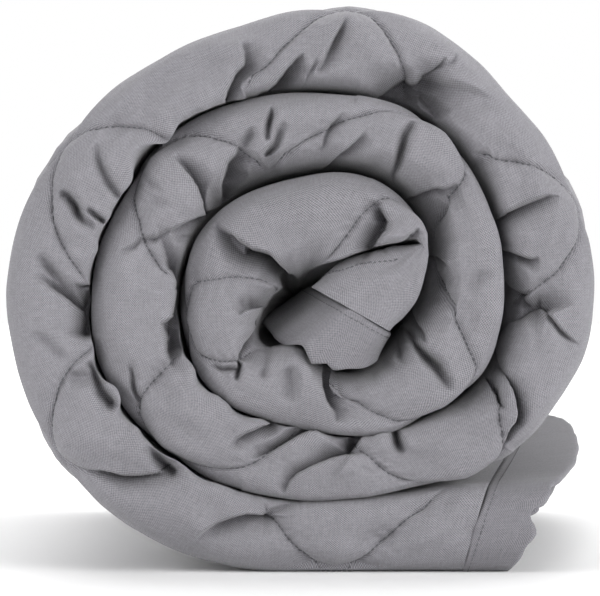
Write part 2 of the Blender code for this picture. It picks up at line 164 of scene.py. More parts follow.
class Section(IntEnum):
    """The columns of the table of the fold's sections."""

    INNER_SQUARENESS = 1
    OUTER_SQUARENESS = 2
    LEAN_IN = 3
    LEAN_OUT = 4
    INNER_DEPTH = 5


@dataclass
class Sizes:
    """Driving sizes of the roll, in millimetres.

    An open gap between turns closes over gap_reach behind the fold. The core narrows from deep_starts behind
    the fold, over deep_from_fold. Lines of quilting that lean the same way are quilt_pitch apart, and reach
    edge_reach from the fold's crest to each of its edges. At its far end the loose end lies loose_skew
    further out, and its top loose_lift higher.
    """

    roll_length: float = 457.0
    centre_height: float = 108.0
    layer_gap: float = 1.2
    nose_depth: float = 20.0
    lobe_depth: float = 5.0
    deep_starts: float = 44.0
    gap_reach: float = 60.0
    deep_from_fold: float = 50.0
    quilt_pitch: float = 110.0
    edge_reach: float = 26.0
    loose_edge_floor: float = 63.6
    loose_edge_top: float = 73.8
    loose_skew: float = 44.0
    loose_lift: float = 13.0
    outermost: float = 117.6

    @property
    def front(self) -> float:
        """Y of the fold's crest."""
        return -self.roll_length / 2


def along(rows: np.ndarray, place: np.ndarray, column: int = 1) -> np.ndarray:
    """Reads a smooth curve through one column of a table.

    Args:
        rows: The table, its first column rising.
        place: Where to read it, on the first column.
        column: The column to read.

    Returns:
        The curve's values.
    """
    keys, values = rows[:, 0], rows[:, column]
    slopes = np.gradient(values, keys)
    slopes[1:-1] = (values[2:] - values[:-2]) / (keys[2:] - keys[:-2])
    at = np.clip(np.searchsorted(keys, place, side="right") - 1, 0, len(keys) - 2)
    span = keys[at + 1] - keys[at]
    t = np.clip((place - keys[at]) / span, 0, 1)
    return (
        (2 * t**3 - 3 * t**2 + 1) * values[at]
        + (t**3 - 2 * t**2 + t) * slopes[at] * span
        + (3 * t**2 - 2 * t**3) * values[at + 1]
        + (t**3 - t**2) * slopes[at + 1] * span
    )


def smooth_step(share: np.ndarray) -> np.ndarray:
    """Goes from 0 to 1, level at both ends."""
    share = np.clip(share, 0, 1)
    return share * share * (3 - 2 * share)


def distances(steps: np.ndarray) -> np.ndarray:
    """Adds up the lengths of steps, from 0."""
    return np.concatenate(([0.0], np.cumsum(steps)))


def on_roll(angle: np.ndarray, radius: np.ndarray, sizes: Sizes) -> np.ndarray:
    """Turns a turn angle and a radius into X and Z.

    Args:
        angle: Degrees wound on from straight below the centre.
        radius: Distance from the centre.
        sizes: The roll's sizes.

    Returns:
        X and Z in the last axis.
    """
    turn = np.radians(angle)
    return np.stack((-np.sin(turn) * radius, sizes.centre_height - np.cos(turn) * radius), axis=-1)


@dataclass
class Strip:
    """The wound strip's sections, one row a station.

    Each has its turn angle, its distance along the cloth, X and Z of its outer edge, of its inner edge at the
    fold and of its inner edge deep in the roll, and how far out it lies on the floor, from 0 to 1.
    """

    angle: np.ndarray
    run: np.ndarray
    outer: np.ndarray
    inner: np.ndarray
    deep: np.ndarray
    beyond: np.ndarray

    @property
    def thickness(self) -> np.ndarray:
        """Thickness of every section."""
        return np.hypot(*(self.outer - self.inner).T)


@dataclass
class Winding:
    """Lays out the strip from the loose end on the floor to the inner end in the core.

    Stations are a step apart along the cloth's middle. Rows of the lap table count as lap_turn degrees each,
    and deep in the roll its inner edge is drawn in by lap_drawn millimetres or lap_drawn_share.
    """

    sizes: Sizes
    step: float = 0.62
    least_radius: float = 24.0
    floor_turn: float = 30.0
    lap_starts: float = 0.12
    lap_ends: float = 4.0
    lap_stations: int = 10
    lap_turn: float = 16.0
    lap_drawn: float = 2.6
    lap_drawn_share: float = 0.08
    joint: float = 1.0

    def floor(self) -> Strip:
        """Lays out the stretch on the floor.

        Returns:
            Its sections, from the loose end inwards.
        """
        s = self.sizes
        share = np.linspace(1.0, 0.0, int(s.loose_edge_top / self.step), endpoint=False)
        foot = s.loose_edge_floor * share
        top = s.loose_edge_top * share
        outer = np.stack((foot, np.zeros_like(foot)), axis=-1)
        inner = np.stack((top, along(FLOOR_RUN, top)), axis=-1)
        return Strip(-self.floor_turn * share, -foot, outer, inner, inner, share)

    def wound(self) -> Strip:
        """Lays out the full turns.

        Returns:
            Their sections, from the outside inwards.
        """
        s, angles = self.sizes, [0.0]
        while angles[-1] < LAST_FULL_TURN:
            here = np.array(angles[-1])
            middle = (along(TURNS, here) + self.inside(here)) / 2
            angles.append(float(here + np.degrees(self.step / max(float(middle), self.least_radius))))
        angle = np.array(angles[:-1])
        outer, inside = along(TURNS, angle), self.inside(angle)
        deep = np.where(angle >= CORE[0, 0], along(CORE, angle, column=2), inside)
        run = self.step * np.arange(len(angle))
        edges = [on_roll(angle, radius, s) for radius in (outer, inside, deep)]
        return Strip(angle, run, *edges, np.zeros_like(angle))

    def inside(self, angle: np.ndarray) -> np.ndarray:
        """Reads the radius of the inner face."""
        wound = along(TURNS, np.minimum(angle + FULL_TURN, TURNS[-1, 0])) + self.sizes.layer_gap
        return np.where(angle < CORE[0, 0], wound, along(CORE, angle))

    def lapped(self, run: float) -> Strip:
        """Lays out the inner end.

        Args:
            run: Distance along the cloth at its start.

        Returns:
            Its sections, from the last full turn on.
        """
        rows = np.column_stack((np.arange(len(LAPS)), LAPS))
        count = int((self.lap_ends - self.lap_starts) * self.lap_stations)
        place = np.linspace(self.lap_starts, self.lap_ends, count)
        edges = np.stack([along(rows, place, column + 1) for column in range(LAPS.shape[1])], axis=-1)
        outer, inner = edges[:, :2], edges[:, 2:]
        moved = distances(np.hypot(*np.diff((outer + inner) / 2, axis=0).T))
        thickness = np.hypot(*(outer - inner).T)[:, None]
        drawn = np.minimum(self.lap_drawn, self.lap_drawn_share * thickness) / thickness
        deep = inner + (outer - inner) * drawn
        angle = LAST_FULL_TURN + self.lap_turn * place
        return Strip(angle, run + moved, outer, inner, deep, np.zeros_like(angle))

    def strip(self) -> Strip:
        """Joins the stretch on the floor, the full turns and the inner end.

        Returns:
            The whole strip's sections.
        """
        wound = self.wound()
        strips = (self.floor(), wound, self.lapped(float(wound.run[-1]) + self.joint))
        parts = zip(*((s.angle, s.run, s.outer, s.inner, s.deep, s.beyond) for s in strips))
        return Strip(*(np.concatenate(part) for part in parts))


class Side(Enum):
    """Which side of a crease stands high, looking along it from its deep end."""

    LEFT = 1
    RIGHT = -1
    BOTH = 0


@dataclass(frozen=True)
class Fold:
    """A crease in the folded edge, seen end on, in millimetres.

    Its depths are at its deep end, middle and far end. Spread is how wide its low side is, rounding how
    soft its high edge is. Its path is right of and above the floor below the centre.
    """

    turn: int
    high: Side
    start: float
    middle: float
    end: float
    spread: float
    rounding: float
    path: tuple

    def depth(self, share: np.ndarray) -> np.ndarray:
        """Reads its depth along its path.

        Args:
            share: Share of the path, from 0 at its deep end.

        Returns:
            The depths, fading out over the path's last sixth.
        """
        first = self.start + (self.middle - self.start) * smooth_step(share * 2)
        second = self.middle + (self.end - self.middle) * smooth_step(share * 2 - 1)
        fading = smooth_step((FADED_AT - share) / FADE_LENGTH)
        return np.where(share < 0.5, first, second) * fading


# The quilting lines that cross the fold: turn angle at the fold's inner edge and at its outer edge.
SEAMS = (
    (11, -3), (37, 53), (78, 62), (94, 119), (142, 126), (165, 184), (208, 195), (229, 245), (271, 257),
    (293, 307), (341, 328), (360, 389), (427, 415), (460, 480), (526, 507), (528, 568), (602, 591),
    (619, 654), (696, 681), (761, 780), (836, 821), (932, 940),
)

# The creases, in the order of the fields of Fold: turn, high side, three depths, spread, rounding and path.
L, R, B = Side.LEFT, Side.RIGHT, Side.BOTH
FOLDS = tuple(Fold(*row) for row in (
    (1, L, 9, 6, 2, 3.2, 0.5, (
        (-30.4, 185.2), (-30, 188.8), (-28.4, 193.2), (-25.6, 198.4), (-22.4, 201.6), (-22.4, 205.6),
        (-23.8, 210))),
    (1, L, 14, 11, 3, 5.5, 0.5, (
        (-24, 187.2), (-15.6, 191.8), (-12.8, 192.4), (-9.6, 194.8), (-5.6, 200), (-1.6, 204), (1.6, 206))),
    (1, L, 3, 3, 1, 1.8, 0.5, ((2, 194.8), (3.6, 199.2), (5.2, 202), (6.4, 204))),
    (1, L, 2.5, 4.5, 1, 2, 0.8, ((7.8, 200.8), (10, 206), (12.8, 211.6), (16.4, 218), (18.2, 223.6))),
    (1, L, 13, 13, 10, 10, 0.5, (
        (26.4, 188.4), (28.6, 189.2), (35.2, 192), (40.4, 193.6), (46, 194.8), (48.4, 196.4),
        (49.2, 198.8))),
    (1, L, 8, 5, 1.5, 1.4, 0.5, ((49.6, 198.4), (52.8, 200.4), (55.6, 202.6), (57.2, 205.2))),
    (1, L, 1.5, 3, 1, 1.1, 0.5, ((56.8, 200.4), (59, 202), (60.7, 204.4), (61.2, 207.2))),
    (1, B, 9, 6, 2, 5.5, 1, ((51.2, 194.4), (54.4, 188.8), (56.8, 183.2))),
    (1, B, 0.6, 1.5, 0.5, 1.2, 1, ((56.8, 184), (58.8, 181.2), (61.8, 179.8), (65.2, 180), (67.6, 181.2))),
    (1, B, 2, 2.4, 1.5, 7, 1, ((-72.8, 179.2), (-60, 191.2), (-46, 200.8), (-32, 207.2))),
    (1, B, 3, 2.5, 0.8, 1.5, 1, ((-72, 149.2), (-76, 154.4), (-79.2, 162), (-81.2, 170.8))),
    (1, B, 2, 6, 2.5, 1.6, 1, (
        (-82.4, 137.6), (-85.8, 139.2), (-88, 142), (-89.2, 145.3), (-92, 149.2), (-96, 151))),
    (1, B, 5, 4, 1.2, 0.9, 1, ((-78, 139.2), (-80.8, 141.4), (-83, 143.2), (-84.9, 144))),
    (1, B, 12, 12, 9, 6, 1, ((33.6, 188), (40.8, 189.2), (48, 190), (52.8, 185.6), (56.8, 179.2))),
    (1, B, 7, 6, 3, 1.6, 1, ((-74.8, 66.8), (-78.4, 71.2), (-81.2, 77.6), (-83.6, 84))),
    (1, B, 13, 12, 10, 4, 1, ((-83.6, 108), (-84.8, 100.8), (-86, 92.8))),
    (1, R, 9, 6, 3, 2.2, 0.6, ((-82.8, 114.8), (-85.6, 114.4), (-88.4, 114.4))),
    (1, L, 10, 5, 1, 2.4, 0.8, (
        (-86.8, 102.8), (-90.2, 105.6), (-93.6, 108.4), (-97.6, 111.2), (-101.6, 114.4), (-106.4, 116.8))),
    (1, B, 2.5, 3, 0.8, 1.9, 1, (
        (-93.6, 113.2), (-96.4, 116.8), (-99.2, 120.1), (-102.6, 124), (-106, 125.7))),
    (1, B, 1.2, 1.8, 0.6, 2.4, 1, ((-96, 86.4), (-99.2, 90.4), (-103.2, 93.2), (-108.8, 94.4))),
    (1, B, 2.5, 2.2, 0.8, 3, 1, ((-81.2, 78.4), (-85.2, 77.4), (-89.7, 77.4), (-94.8, 78.6))),
    (1, R, 3, 5, 1.5, 3, 0.7, (
        (-53.2, 40.6), (-58.8, 39.4), (-63.6, 38.9), (-70, 38.9), (-75.6, 39.9), (-80.8, 40.4),
        (-87.2, 40))),
    (1, B, 8, 6, 1.5, 1.8, 1, ((-50.4, 40), (-54.8, 44), (-58.4, 47.6), (-61.2, 50))),
    (1, R, 5, 3.6, 1.6, 2.8, 0.6, (
        (-14.8, 23.5), (-21.6, 23.7), (-28, 22), (-33.6, 19.8), (-39.2, 16.4), (-43, 12.5))),
    (1, B, 2.5, 2.5, 1.5, 1.4, 1, ((-13.6, 23.7), (-9.2, 25.4), (-3.6, 27.2), (2.4, 28.8))),
    (1, B, 8, 10, 8, 3, 1, ((69.6, 160.8), (73.6, 152), (76, 144), (78.4, 135.2))),
    (1, B, 8, 12, 10, 6, 1, ((79.2, 123.2), (80.8, 116), (81.2, 108), (80, 99.2))),
    (1, B, 8, 9, 6, 1.6, 1, ((74.4, 148), (75.4, 146), (76, 144))),
    (1, L, 9, 5, 1, 3, 0.9, (
        (75.6, 138), (78, 140.4), (82, 143.2), (86.4, 145.4), (92, 147.6), (97.6, 149.8), (102.4, 150),
        (106.4, 148))),
    (1, L, 10, 7, 2, 2.6, 0.6, ((79.6, 129.6), (83.6, 128), (88, 125.6), (90.8, 124.6), (94.4, 125.2))),
    (1, L, 8, 8, 7, 3.6, 1.8, (
        (80.4, 125.6), (82.4, 119.2), (85.9, 114), (90.8, 108.4), (94.8, 105.2), (97.6, 104.8))),
    (1, L, 7, 4, 1.5, 1.2, 0.5, ((96.4, 106.8), (100, 101), (103.8, 96.5), (108.4, 92.6), (113.4, 88.9))),
    (1, L, 8, 6, 5, 3.4, 2.2, (
        (96, 102.4), (89.6, 100), (84.8, 97.2), (82, 92.8), (80.8, 88), (81.2, 83.2), (82.4, 78.4))),
    (1, R, 9, 8, 2.5, 1.8, 0.5, ((73.2, 78.8), (74.6, 73.3), (76.2, 69), (78.8, 65.8), (81.6, 64.2))),
    (1, R, 5, 7, 2.5, 1.5, 0.6, (
        (80, 78.4), (83.6, 72.8), (85, 68), (85.8, 63.6), (85.2, 60), (83.6, 57.8), (82.2, 54.8),
        (81.6, 48.8))),
    (1, B, 7, 6, 2, 1.6, 1, ((37.6, 56), (38.6, 52), (39.8, 49.6), (41.6, 48))),
    (2, L, 15, 12, 4, 9, 0.5, (
        (-32.8, 144.4), (-32.4, 147.8), (-31.6, 153.4), (-30.5, 157.3), (-28.8, 162.4), (-26, 165.7),
        (-24, 169.6))),
    (2, L, 9, 6, 1.5, 2.6, 0.5, (
        (-38.4, 141.6), (-39.4, 147.2), (-41.2, 152.8), (-44, 157.3), (-47.9, 161.8), (-51.8, 166.3))),
    (2, B, 2, 2.4, 0.8, 1.7, 1, ((-63.6, 160.1), (-61.4, 156.8), (-58.5, 154), (-54.6, 152.2))),
    (2, B, 1, 1.3, 0.5, 1.3, 1, ((-62, 151.2), (-58, 147.8), (-53.6, 145.8), (-47.9, 144.9))),
    (2, R, 10, 7, 3, 4.6, 0.6, ((-38.4, 142.6), (-42.6, 140.8), (-47, 138.6), (-52.1, 135.6))),
    (2, B, 6, 5, 3, 3, 1, ((-41.6, 133.6), (-46.4, 132.8), (-50.4, 132))),
    (2, B, 2.5, 2.5, 1, 1, 1, ((-52, 135.2), (-54.4, 133.6), (-57.7, 131.9), (-61.1, 131.6), (-63.9, 133))),
    (2, B, 2, 2, 0.8, 1, 1, ((-64, 132), (-66.1, 129), (-69.6, 127.4), (-73.4, 127.4))),
    (2, R, 9, 10, 10, 5, 0.6, (
        (-51.2, 119.2), (-50, 115.6), (-50.2, 110), (-51.2, 101.6), (-55, 98.6), (-53.2, 92.8),
        (-53.2, 87.2), (-51.6, 83.6))),
    (2, B, 2, 4.5, 2, 1, 1, ((-66.8, 81), (-66.6, 77.4), (-66.8, 74.4), (-66.3, 68.8), (-66, 62))),
    (2, R, 7, 3.6, 1.5, 2, 0.6, ((-11.6, 59.8), (-16.4, 58), (-21.6, 55.7), (-25.4, 53.6), (-28, 50))),
    (2, L, 7, 5, 2, 2, 0.6, ((4, 56), (-0.8, 54), (-5.2, 51.2), (-8.6, 49), (-13.2, 46.4), (-19.2, 44.6))),
    (1, L, 6, 4.5, 2.5, 2.2, 0.6, (
        (19.2, 46.4), (13.3, 45), (8.8, 43.4), (3.8, 41.2), (-0.8, 38.8), (-3.6, 36), (-4.9, 32.8),
        (-5.5, 30))),
    (1, L, 9, 9, 7, 3, 0.6, ((26.4, 54.2), (22.8, 50.8), (19.6, 46.4))),
    (2, B, 13, 11, 7, 5, 1, ((-32, 146.8), (-26.4, 150.8), (-17.6, 154.8), (-5.6, 158.4))),
    (2, B, 2.5, 5, 1.5, 1.1, 1, ((-13, 172.4), (-12.4, 177.6), (-11.2, 181.4), (-11, 186.4))),
    (2, B, 5, 3.2, 1, 1.6, 1, ((-12.8, 165.2), (-9.6, 169.2), (-7.8, 174.8), (-5.6, 178.6))),
    (2, B, 2.5, 2.8, 1, 2, 1, ((-21.6, 170), (-19.6, 173.6), (-19.2, 176.8))),
    (2, L, 8, 6.5, 2, 3.4, 0.5, (
        (0, 158.2), (6.8, 160.6), (10.6, 162.6), (14.6, 165.7), (18.4, 168.5), (22.4, 172), (25.6, 174.8))),
    (2, L, 2.5, 2.8, 0.8, 2, 0.8, ((8, 168), (9, 173), (11.2, 177.6), (14, 180.8), (17.4, 184.8))),
    (2, B, 8, 6.5, 2, 1.5, 1, (
        (43.6, 149.6), (40.8, 152.4), (38.2, 155.2), (37.6, 158.4), (39.2, 163.6), (40.4, 168.5),
        (41.6, 173.6), (44.4, 178), (46.4, 180.4))),
    (2, L, 10, 6, 2, 5, 0.5, ((43.2, 149.6), (48.8, 151.2), (53.3, 152.4), (57.8, 152.6), (62.8, 154.4))),
    (2, B, 7, 7, 3, 6, 1, ((49.6, 133.6), (54.4, 132), (59.6, 128.8))),
    (2, B, 10, 12, 10, 6, 1, ((46.4, 146.4), (50, 139.2), (52, 132), (52, 123.2))),
    (2, L, 8, 8, 4, 2.2, 0.6, ((50.8, 127.4), (54.8, 126), (57.6, 124), (58.8, 122))),
    (2, B, 1, 1.5, 0.6, 2, 1, ((67.9, 112.8), (71.2, 117.2), (76.8, 118.4))),
    (2, L, 9, 8, 3, 2.6, 0.8, (
        (45.2, 109.6), (46, 107.6), (46.6, 102.8), (48.3, 98.2), (50.5, 94.8), (51.6, 90.9), (50.4, 89.6))),
    (2, B, 8, 9, 1.5, 1.7, 1, (
        (42, 97.2), (46.6, 90.4), (50.4, 85.2), (54.4, 81.4), (57.2, 76.8), (60.6, 71.6))),
    (2, B, 9, 7, 2, 1.8, 1, ((39.2, 92), (40.2, 87.2), (40.2, 81.6))),
    (3, R, 18, 13, 3, 3.2, 0.5, (
        (-4, 119.2), (-11.6, 126.6), (-18.8, 128.5), (-23.3, 131.3), (-26.8, 134.1), (-31.2, 137.6),
        (-36, 140.2))),
    (2, B, 3, 3, 2, 3, 1, ((12.8, 81.6), (8.8, 80))),
    (3, L, 10, 8, 2, 3.4, 0.7, ((-13.6, 104.4), (-17.6, 103.6), (-21.6, 103.2), (-24, 101.6))),
    (3, B, 7, 6, 2, 1.4, 1, ((-9.6, 112.4), (-12.8, 109.6), (-14.4, 106.4))),
    (3, R, 10, 8, 3, 1.6, 0.5, ((-18.4, 97.6), (-20, 93.6), (-22.4, 89.6), (-23.8, 86.8), (-23.8, 84.8))),
    (3, B, 5, 5, 2.5, 0.8, 1, ((-23.4, 83.6), (-24.2, 80.4), (-25.6, 76))),
    (3, B, 2, 3.4, 3, 0.9, 1, ((-38.8, 82.2), (-35.2, 81.4), (-31.6, 79.8), (-28, 80.6), (-24, 80.4))),
    (3, B, 2.5, 2, 1.2, 1.4, 1, ((-13.6, 88), (-14, 82.4), (-15.2, 76.8))),
    (3, B, 2.5, 2, 1, 3, 1, ((-3.6, 79.2), (-3.2, 74), (-3.6, 67.2))),
    (2, R, 6, 6, 2, 3.2, 0.7, ((8, 82.4), (8.8, 77.6), (8.3, 73.2), (10, 67.6), (12.8, 63.6), (13, 58.8))),
    (2, B, 9, 7, 5, 3, 1, ((12, 83.2), (10, 80.8))),
    (3, R, 10, 9, 2, 2.4, 0.5, (
        (29.4, 128.8), (31.6, 132.4), (34.4, 135.6), (35.5, 139), (34, 142.8), (32.4, 146), (33.4, 149.2))),
    (3, B, 1.5, 2, 1, 1.3, 1, ((30.6, 142), (29.4, 144.2), (27.2, 146.4))),
    (3, L, 5, 4, 1.5, 1.2, 0.5, ((38.8, 130.8), (40.4, 131.6), (43.2, 133.8), (46.6, 136.6))),
))


@dataclass
class Quilting:
    """The stitched diamonds: where each line runs and how it draws the cloth in.

    Stitching draws in a narrow groove, depth deep and spread wide, in a broad_depth hollow broad_spread wide.
    """

    sizes: Sizes
    strip: Strip
    depth: float = 2.2
    spread: float = 1.25
    sharpness: float = 1.2
    broad_depth: float = 2.3
    broad_spread: float = 9.0
    wander: float = 1.3
    wander_length: float = 11.0
    outer_lines: int = 5
    lines: list = field(default_factory=list)

    def __post_init__(self) -> None:
        """Places the lines that cross the fold, then those that only cross the outer face."""
        self.lines = [(self.run_at(inner), self.run_at(outer)) for inner, outer in SEAMS]
        for lean in (1, -1):
            same = [line for line in self.lines if (line[1] - line[0]) * lean > 0]
            first = min(same, key=lambda line: line[0])
            for k in range(self.outer_lines):
                shift = self.sizes.quilt_pitch * (k + 1)
                self.lines.append((first[0] - shift, first[1] - shift))

    def run_at(self, angle: float) -> float:
        """Finds the distance along the cloth at a turn angle."""
        return float(self.strip.run[np.argmin(np.abs(self.strip.angle - angle))])

    def run_of(self, line: tuple, reach: np.ndarray) -> np.ndarray:
        """Follows a line round the fold.

        Args:
            line: Its distance along the cloth at the fold's inner edge and at its outer edge.
            reach: Distances round the fold.

        Returns:
            Its distance along the cloth at each reach.
        """
        edge = self.sizes.edge_reach
        across = np.clip(reach / edge, -1, 1)
        lean = 1 if line[1] > line[0] else -1
        middle, half = (line[0] + line[1]) / 2, (line[1] - line[0]) / 2
        wander = self.wander * np.sin(reach / self.wander_length + line[0])
        return middle + half * across + lean * (reach - across * edge) + wander

    def hollow(self, run: np.ndarray, reach: np.ndarray) -> tuple:
        """Measures how far the stitching draws the cloth in.

        Args:
            run: Distance along the cloth.
            reach: Distance round the fold.

        Returns:
            The depth, and the distance to the nearest line.
        """
        nearest = np.full(run.shape, FAR)
        for line in self.lines:
            slope = abs(line[1] - line[0]) / (2 * self.sizes.edge_reach)
            away = np.abs(run - self.run_of(line, reach)) / sqrt(1 + slope**2)
            nearest = np.minimum(nearest, away)
        narrow = self.depth * np.exp(-((nearest / self.spread) ** self.sharpness))
        broad = self.broad_depth * np.exp(-((nearest / self.broad_spread) ** 2))
        return narrow + broad, nearest


def smoothed(values: np.ndarray, weight: float = 0.25) -> np.ndarray:
    """Evens out a grid of values over neighbouring stations and rows.

    Args:
        values: Values by station and row.
        weight: How much each neighbour counts.

    Returns:
        The evened values.
    """
    for axis in (0, 1):
        padding = [(1, 1) if k == axis else (0, 0) for k in range(values.ndim)]
        wide = np.pad(values, padding, mode="edge")
        count = values.shape[axis]
        before, here, after = (np.take(wide, range(k, k + count), axis=axis) for k in range(3))
        values = weight * before + (1 - 2 * weight) * here + weight * after
    return values


@dataclass
class Creasing:
    """Presses the creases into the folded edge.

    A crease with one high side has a crisp edge where its rounding is below soft_rounding. Beside that edge
    stands a lip, lip_height high where the crease is lip_depth deep or more, which hangs lip_over over the
    low side, and the low side is pushed away from it by low_back.
    """

    strip: Strip
    sizes: Sizes
    turn_reach: float = 75.0
    groove_power: float = 1.5
    slope_power: float = 1.3
    soft_rounding: float = 0.9
    wider: float = 1.7
    lip_depth: float = 6.0
    lip_height: float = 1.1
    lip_at: float = 4.0
    lip_width: float = 3.6
    lip_over: float = 0.7
    over_width: float = 1.5
    low_back: float = 1.4
    low_width: float = 2.0
    crossing_share: float = 0.2

    def nearest(self, fold: Fold, here: np.ndarray) -> tuple:
        """Finds the nearest place on a crease's path.

        Args:
            fold: The crease.
            here: X and Z of the points.

        Returns:
            The distance to it, the same below 0 left of the path, the share of the path, and the direction
            across it there.
        """
        path = np.array(fold.path, dtype=float)
        closest = np.full(here.shape[:2], FAR)
        signed, share = np.zeros(here.shape[:2]), np.zeros(here.shape[:2])
        across = np.zeros_like(here)
        lengths = np.hypot(*np.diff(path, axis=0).T)
        whole, done = lengths.sum(), 0.0
        for start, end, length in zip(path[:-1], path[1:], lengths):
            ahead = (end - start) / length
            offset = here - start
            t = np.clip(offset @ ahead, 0, length)
            gap = offset - t[..., None] * ahead
            away = np.hypot(gap[..., 0], gap[..., 1])
            left = ahead[0] * offset[..., 1] - ahead[1] * offset[..., 0]
            nearer = away < closest
            closest = np.where(nearer, away, closest)
            signed = np.where(nearer, away * np.where(left > 0, -1, 1), signed)
            share = np.where(nearer, (done + t) / whole, share)
            across = np.where(nearer[..., None], np.array((ahead[1], -ahead[0])), across)
            done += length
        return closest, signed, share, across

    def one_sided(self, fold: Fold, signed: np.ndarray, strength: np.ndarray) -> tuple:
        """Measures a crease with one high side.

        Args:
            fold: The crease.
            signed: Distance to its path, below 0 left of it.
            strength: Its depth at the nearest place on the path.

        Returns:
            How deep it presses, and how far it pushes points across it.
        """
        low, r = signed * fold.high.value, fold.rounding
        begins = 0.0 if r < self.soft_rounding else r
        pressed = strength * smooth_step((low + begins) / (r + begins))
        pressed *= np.exp(-((np.maximum(low - r, 0) / (self.wider * fold.spread)) ** self.slope_power))
        lip = np.minimum(strength / self.lip_depth, 1)
        pressed -= self.lip_height * lip * np.exp(-(((low + self.lip_at) / self.lip_width) ** 2)) * (low < r)
        push = self.lip_over * np.exp(-((low / self.over_width) ** 2))
        push -= self.low_back * np.exp(-np.maximum(low - r, 0) / self.low_width) * (low > r)
        return pressed, lip * push * fold.high.value

    def press(self, points: np.ndarray) -> tuple:
        """Measures how deep the creases press each point, and how far their lips hang over.

        Args:
            points: X and Z of every point, by station and row.

        Returns:
            The depth at every point, and its shift in X and Z.
        """
        depth = np.zeros(points.shape[:2])
        shift = np.zeros_like(points)
        for fold in FOLDS:
            middle = np.array(fold.path, dtype=float).mean(axis=0)
            turn = np.degrees(np.arctan2(-middle[0], self.sizes.centre_height - middle[1])) % FULL_TURN
            away = np.abs(self.strip.angle - turn - FULL_TURN * (fold.turn - 1))
            near = np.flatnonzero(away < self.turn_reach)
            beside = slice(near[0], near[-1] + 1)
            closest, signed, share, across = self.nearest(fold, points[beside])
            strength = fold.depth(share)
            if fold.high is Side.BOTH:
                pressed = strength * np.exp(-((closest / fold.spread) ** self.groove_power))
            else:
                pressed, push = self.one_sided(fold, signed, strength)
                shift[beside] += push[..., None] * across
            now = depth[beside]
            shallower = np.clip(np.minimum(now, pressed), 0, None)
            deeper = np.maximum(now, pressed) + self.crossing_share * shallower
            depth[beside] = np.where(pressed < 0, now + pressed, deeper)
        return smoothed(depth), smoothed(shift)


@dataclass(frozen=True)
class Wave:
    """Smooth unevenness from random waves: typical wavelength, height, and seed of the waves."""

    length: float
    height: float
    seed: int
    count: int = 14
    scale: float = 3.2
    shortest: float = 0.7
    longest: float = 1.6

    def at(self, u: np.ndarray, v: np.ndarray) -> np.ndarray:
        """Reads the unevenness.

        Args:
            u: First coordinate.
            v: Second coordinate.

        Returns:
            Values of about minus to plus its height.
        """
        dice = np.random.RandomState(self.seed)
        total = np.zeros(np.shape(u))
        for _ in range(self.count):
            turn = dice.uniform(0, pi)
            size = self.length * dice.uniform(self.shortest, self.longest)
            phase = dice.uniform(0, 2 * pi)
            total += np.sin(2 * pi * (u * cos(turn) + v * sin(turn)) / size + phase)
        return total / self.scale * self.height


# The cloth's unevenness: along the fold's sides, all over, gathered inside the fold, and beside the quilting.
RIPPLE = Wave(24.0, 0.6, 21)
FINE_RIPPLE = Wave(9.0, 0.14, 22)
BROAD_WAVE = Wave(30.0, 0.8, 5)
SMALL_WAVE = Wave(13.0, 0.28, 6)
GATHERS = Wave(11.0, 0.8, 7)
PUCKERS = Wave(8.0, 0.35, 8)


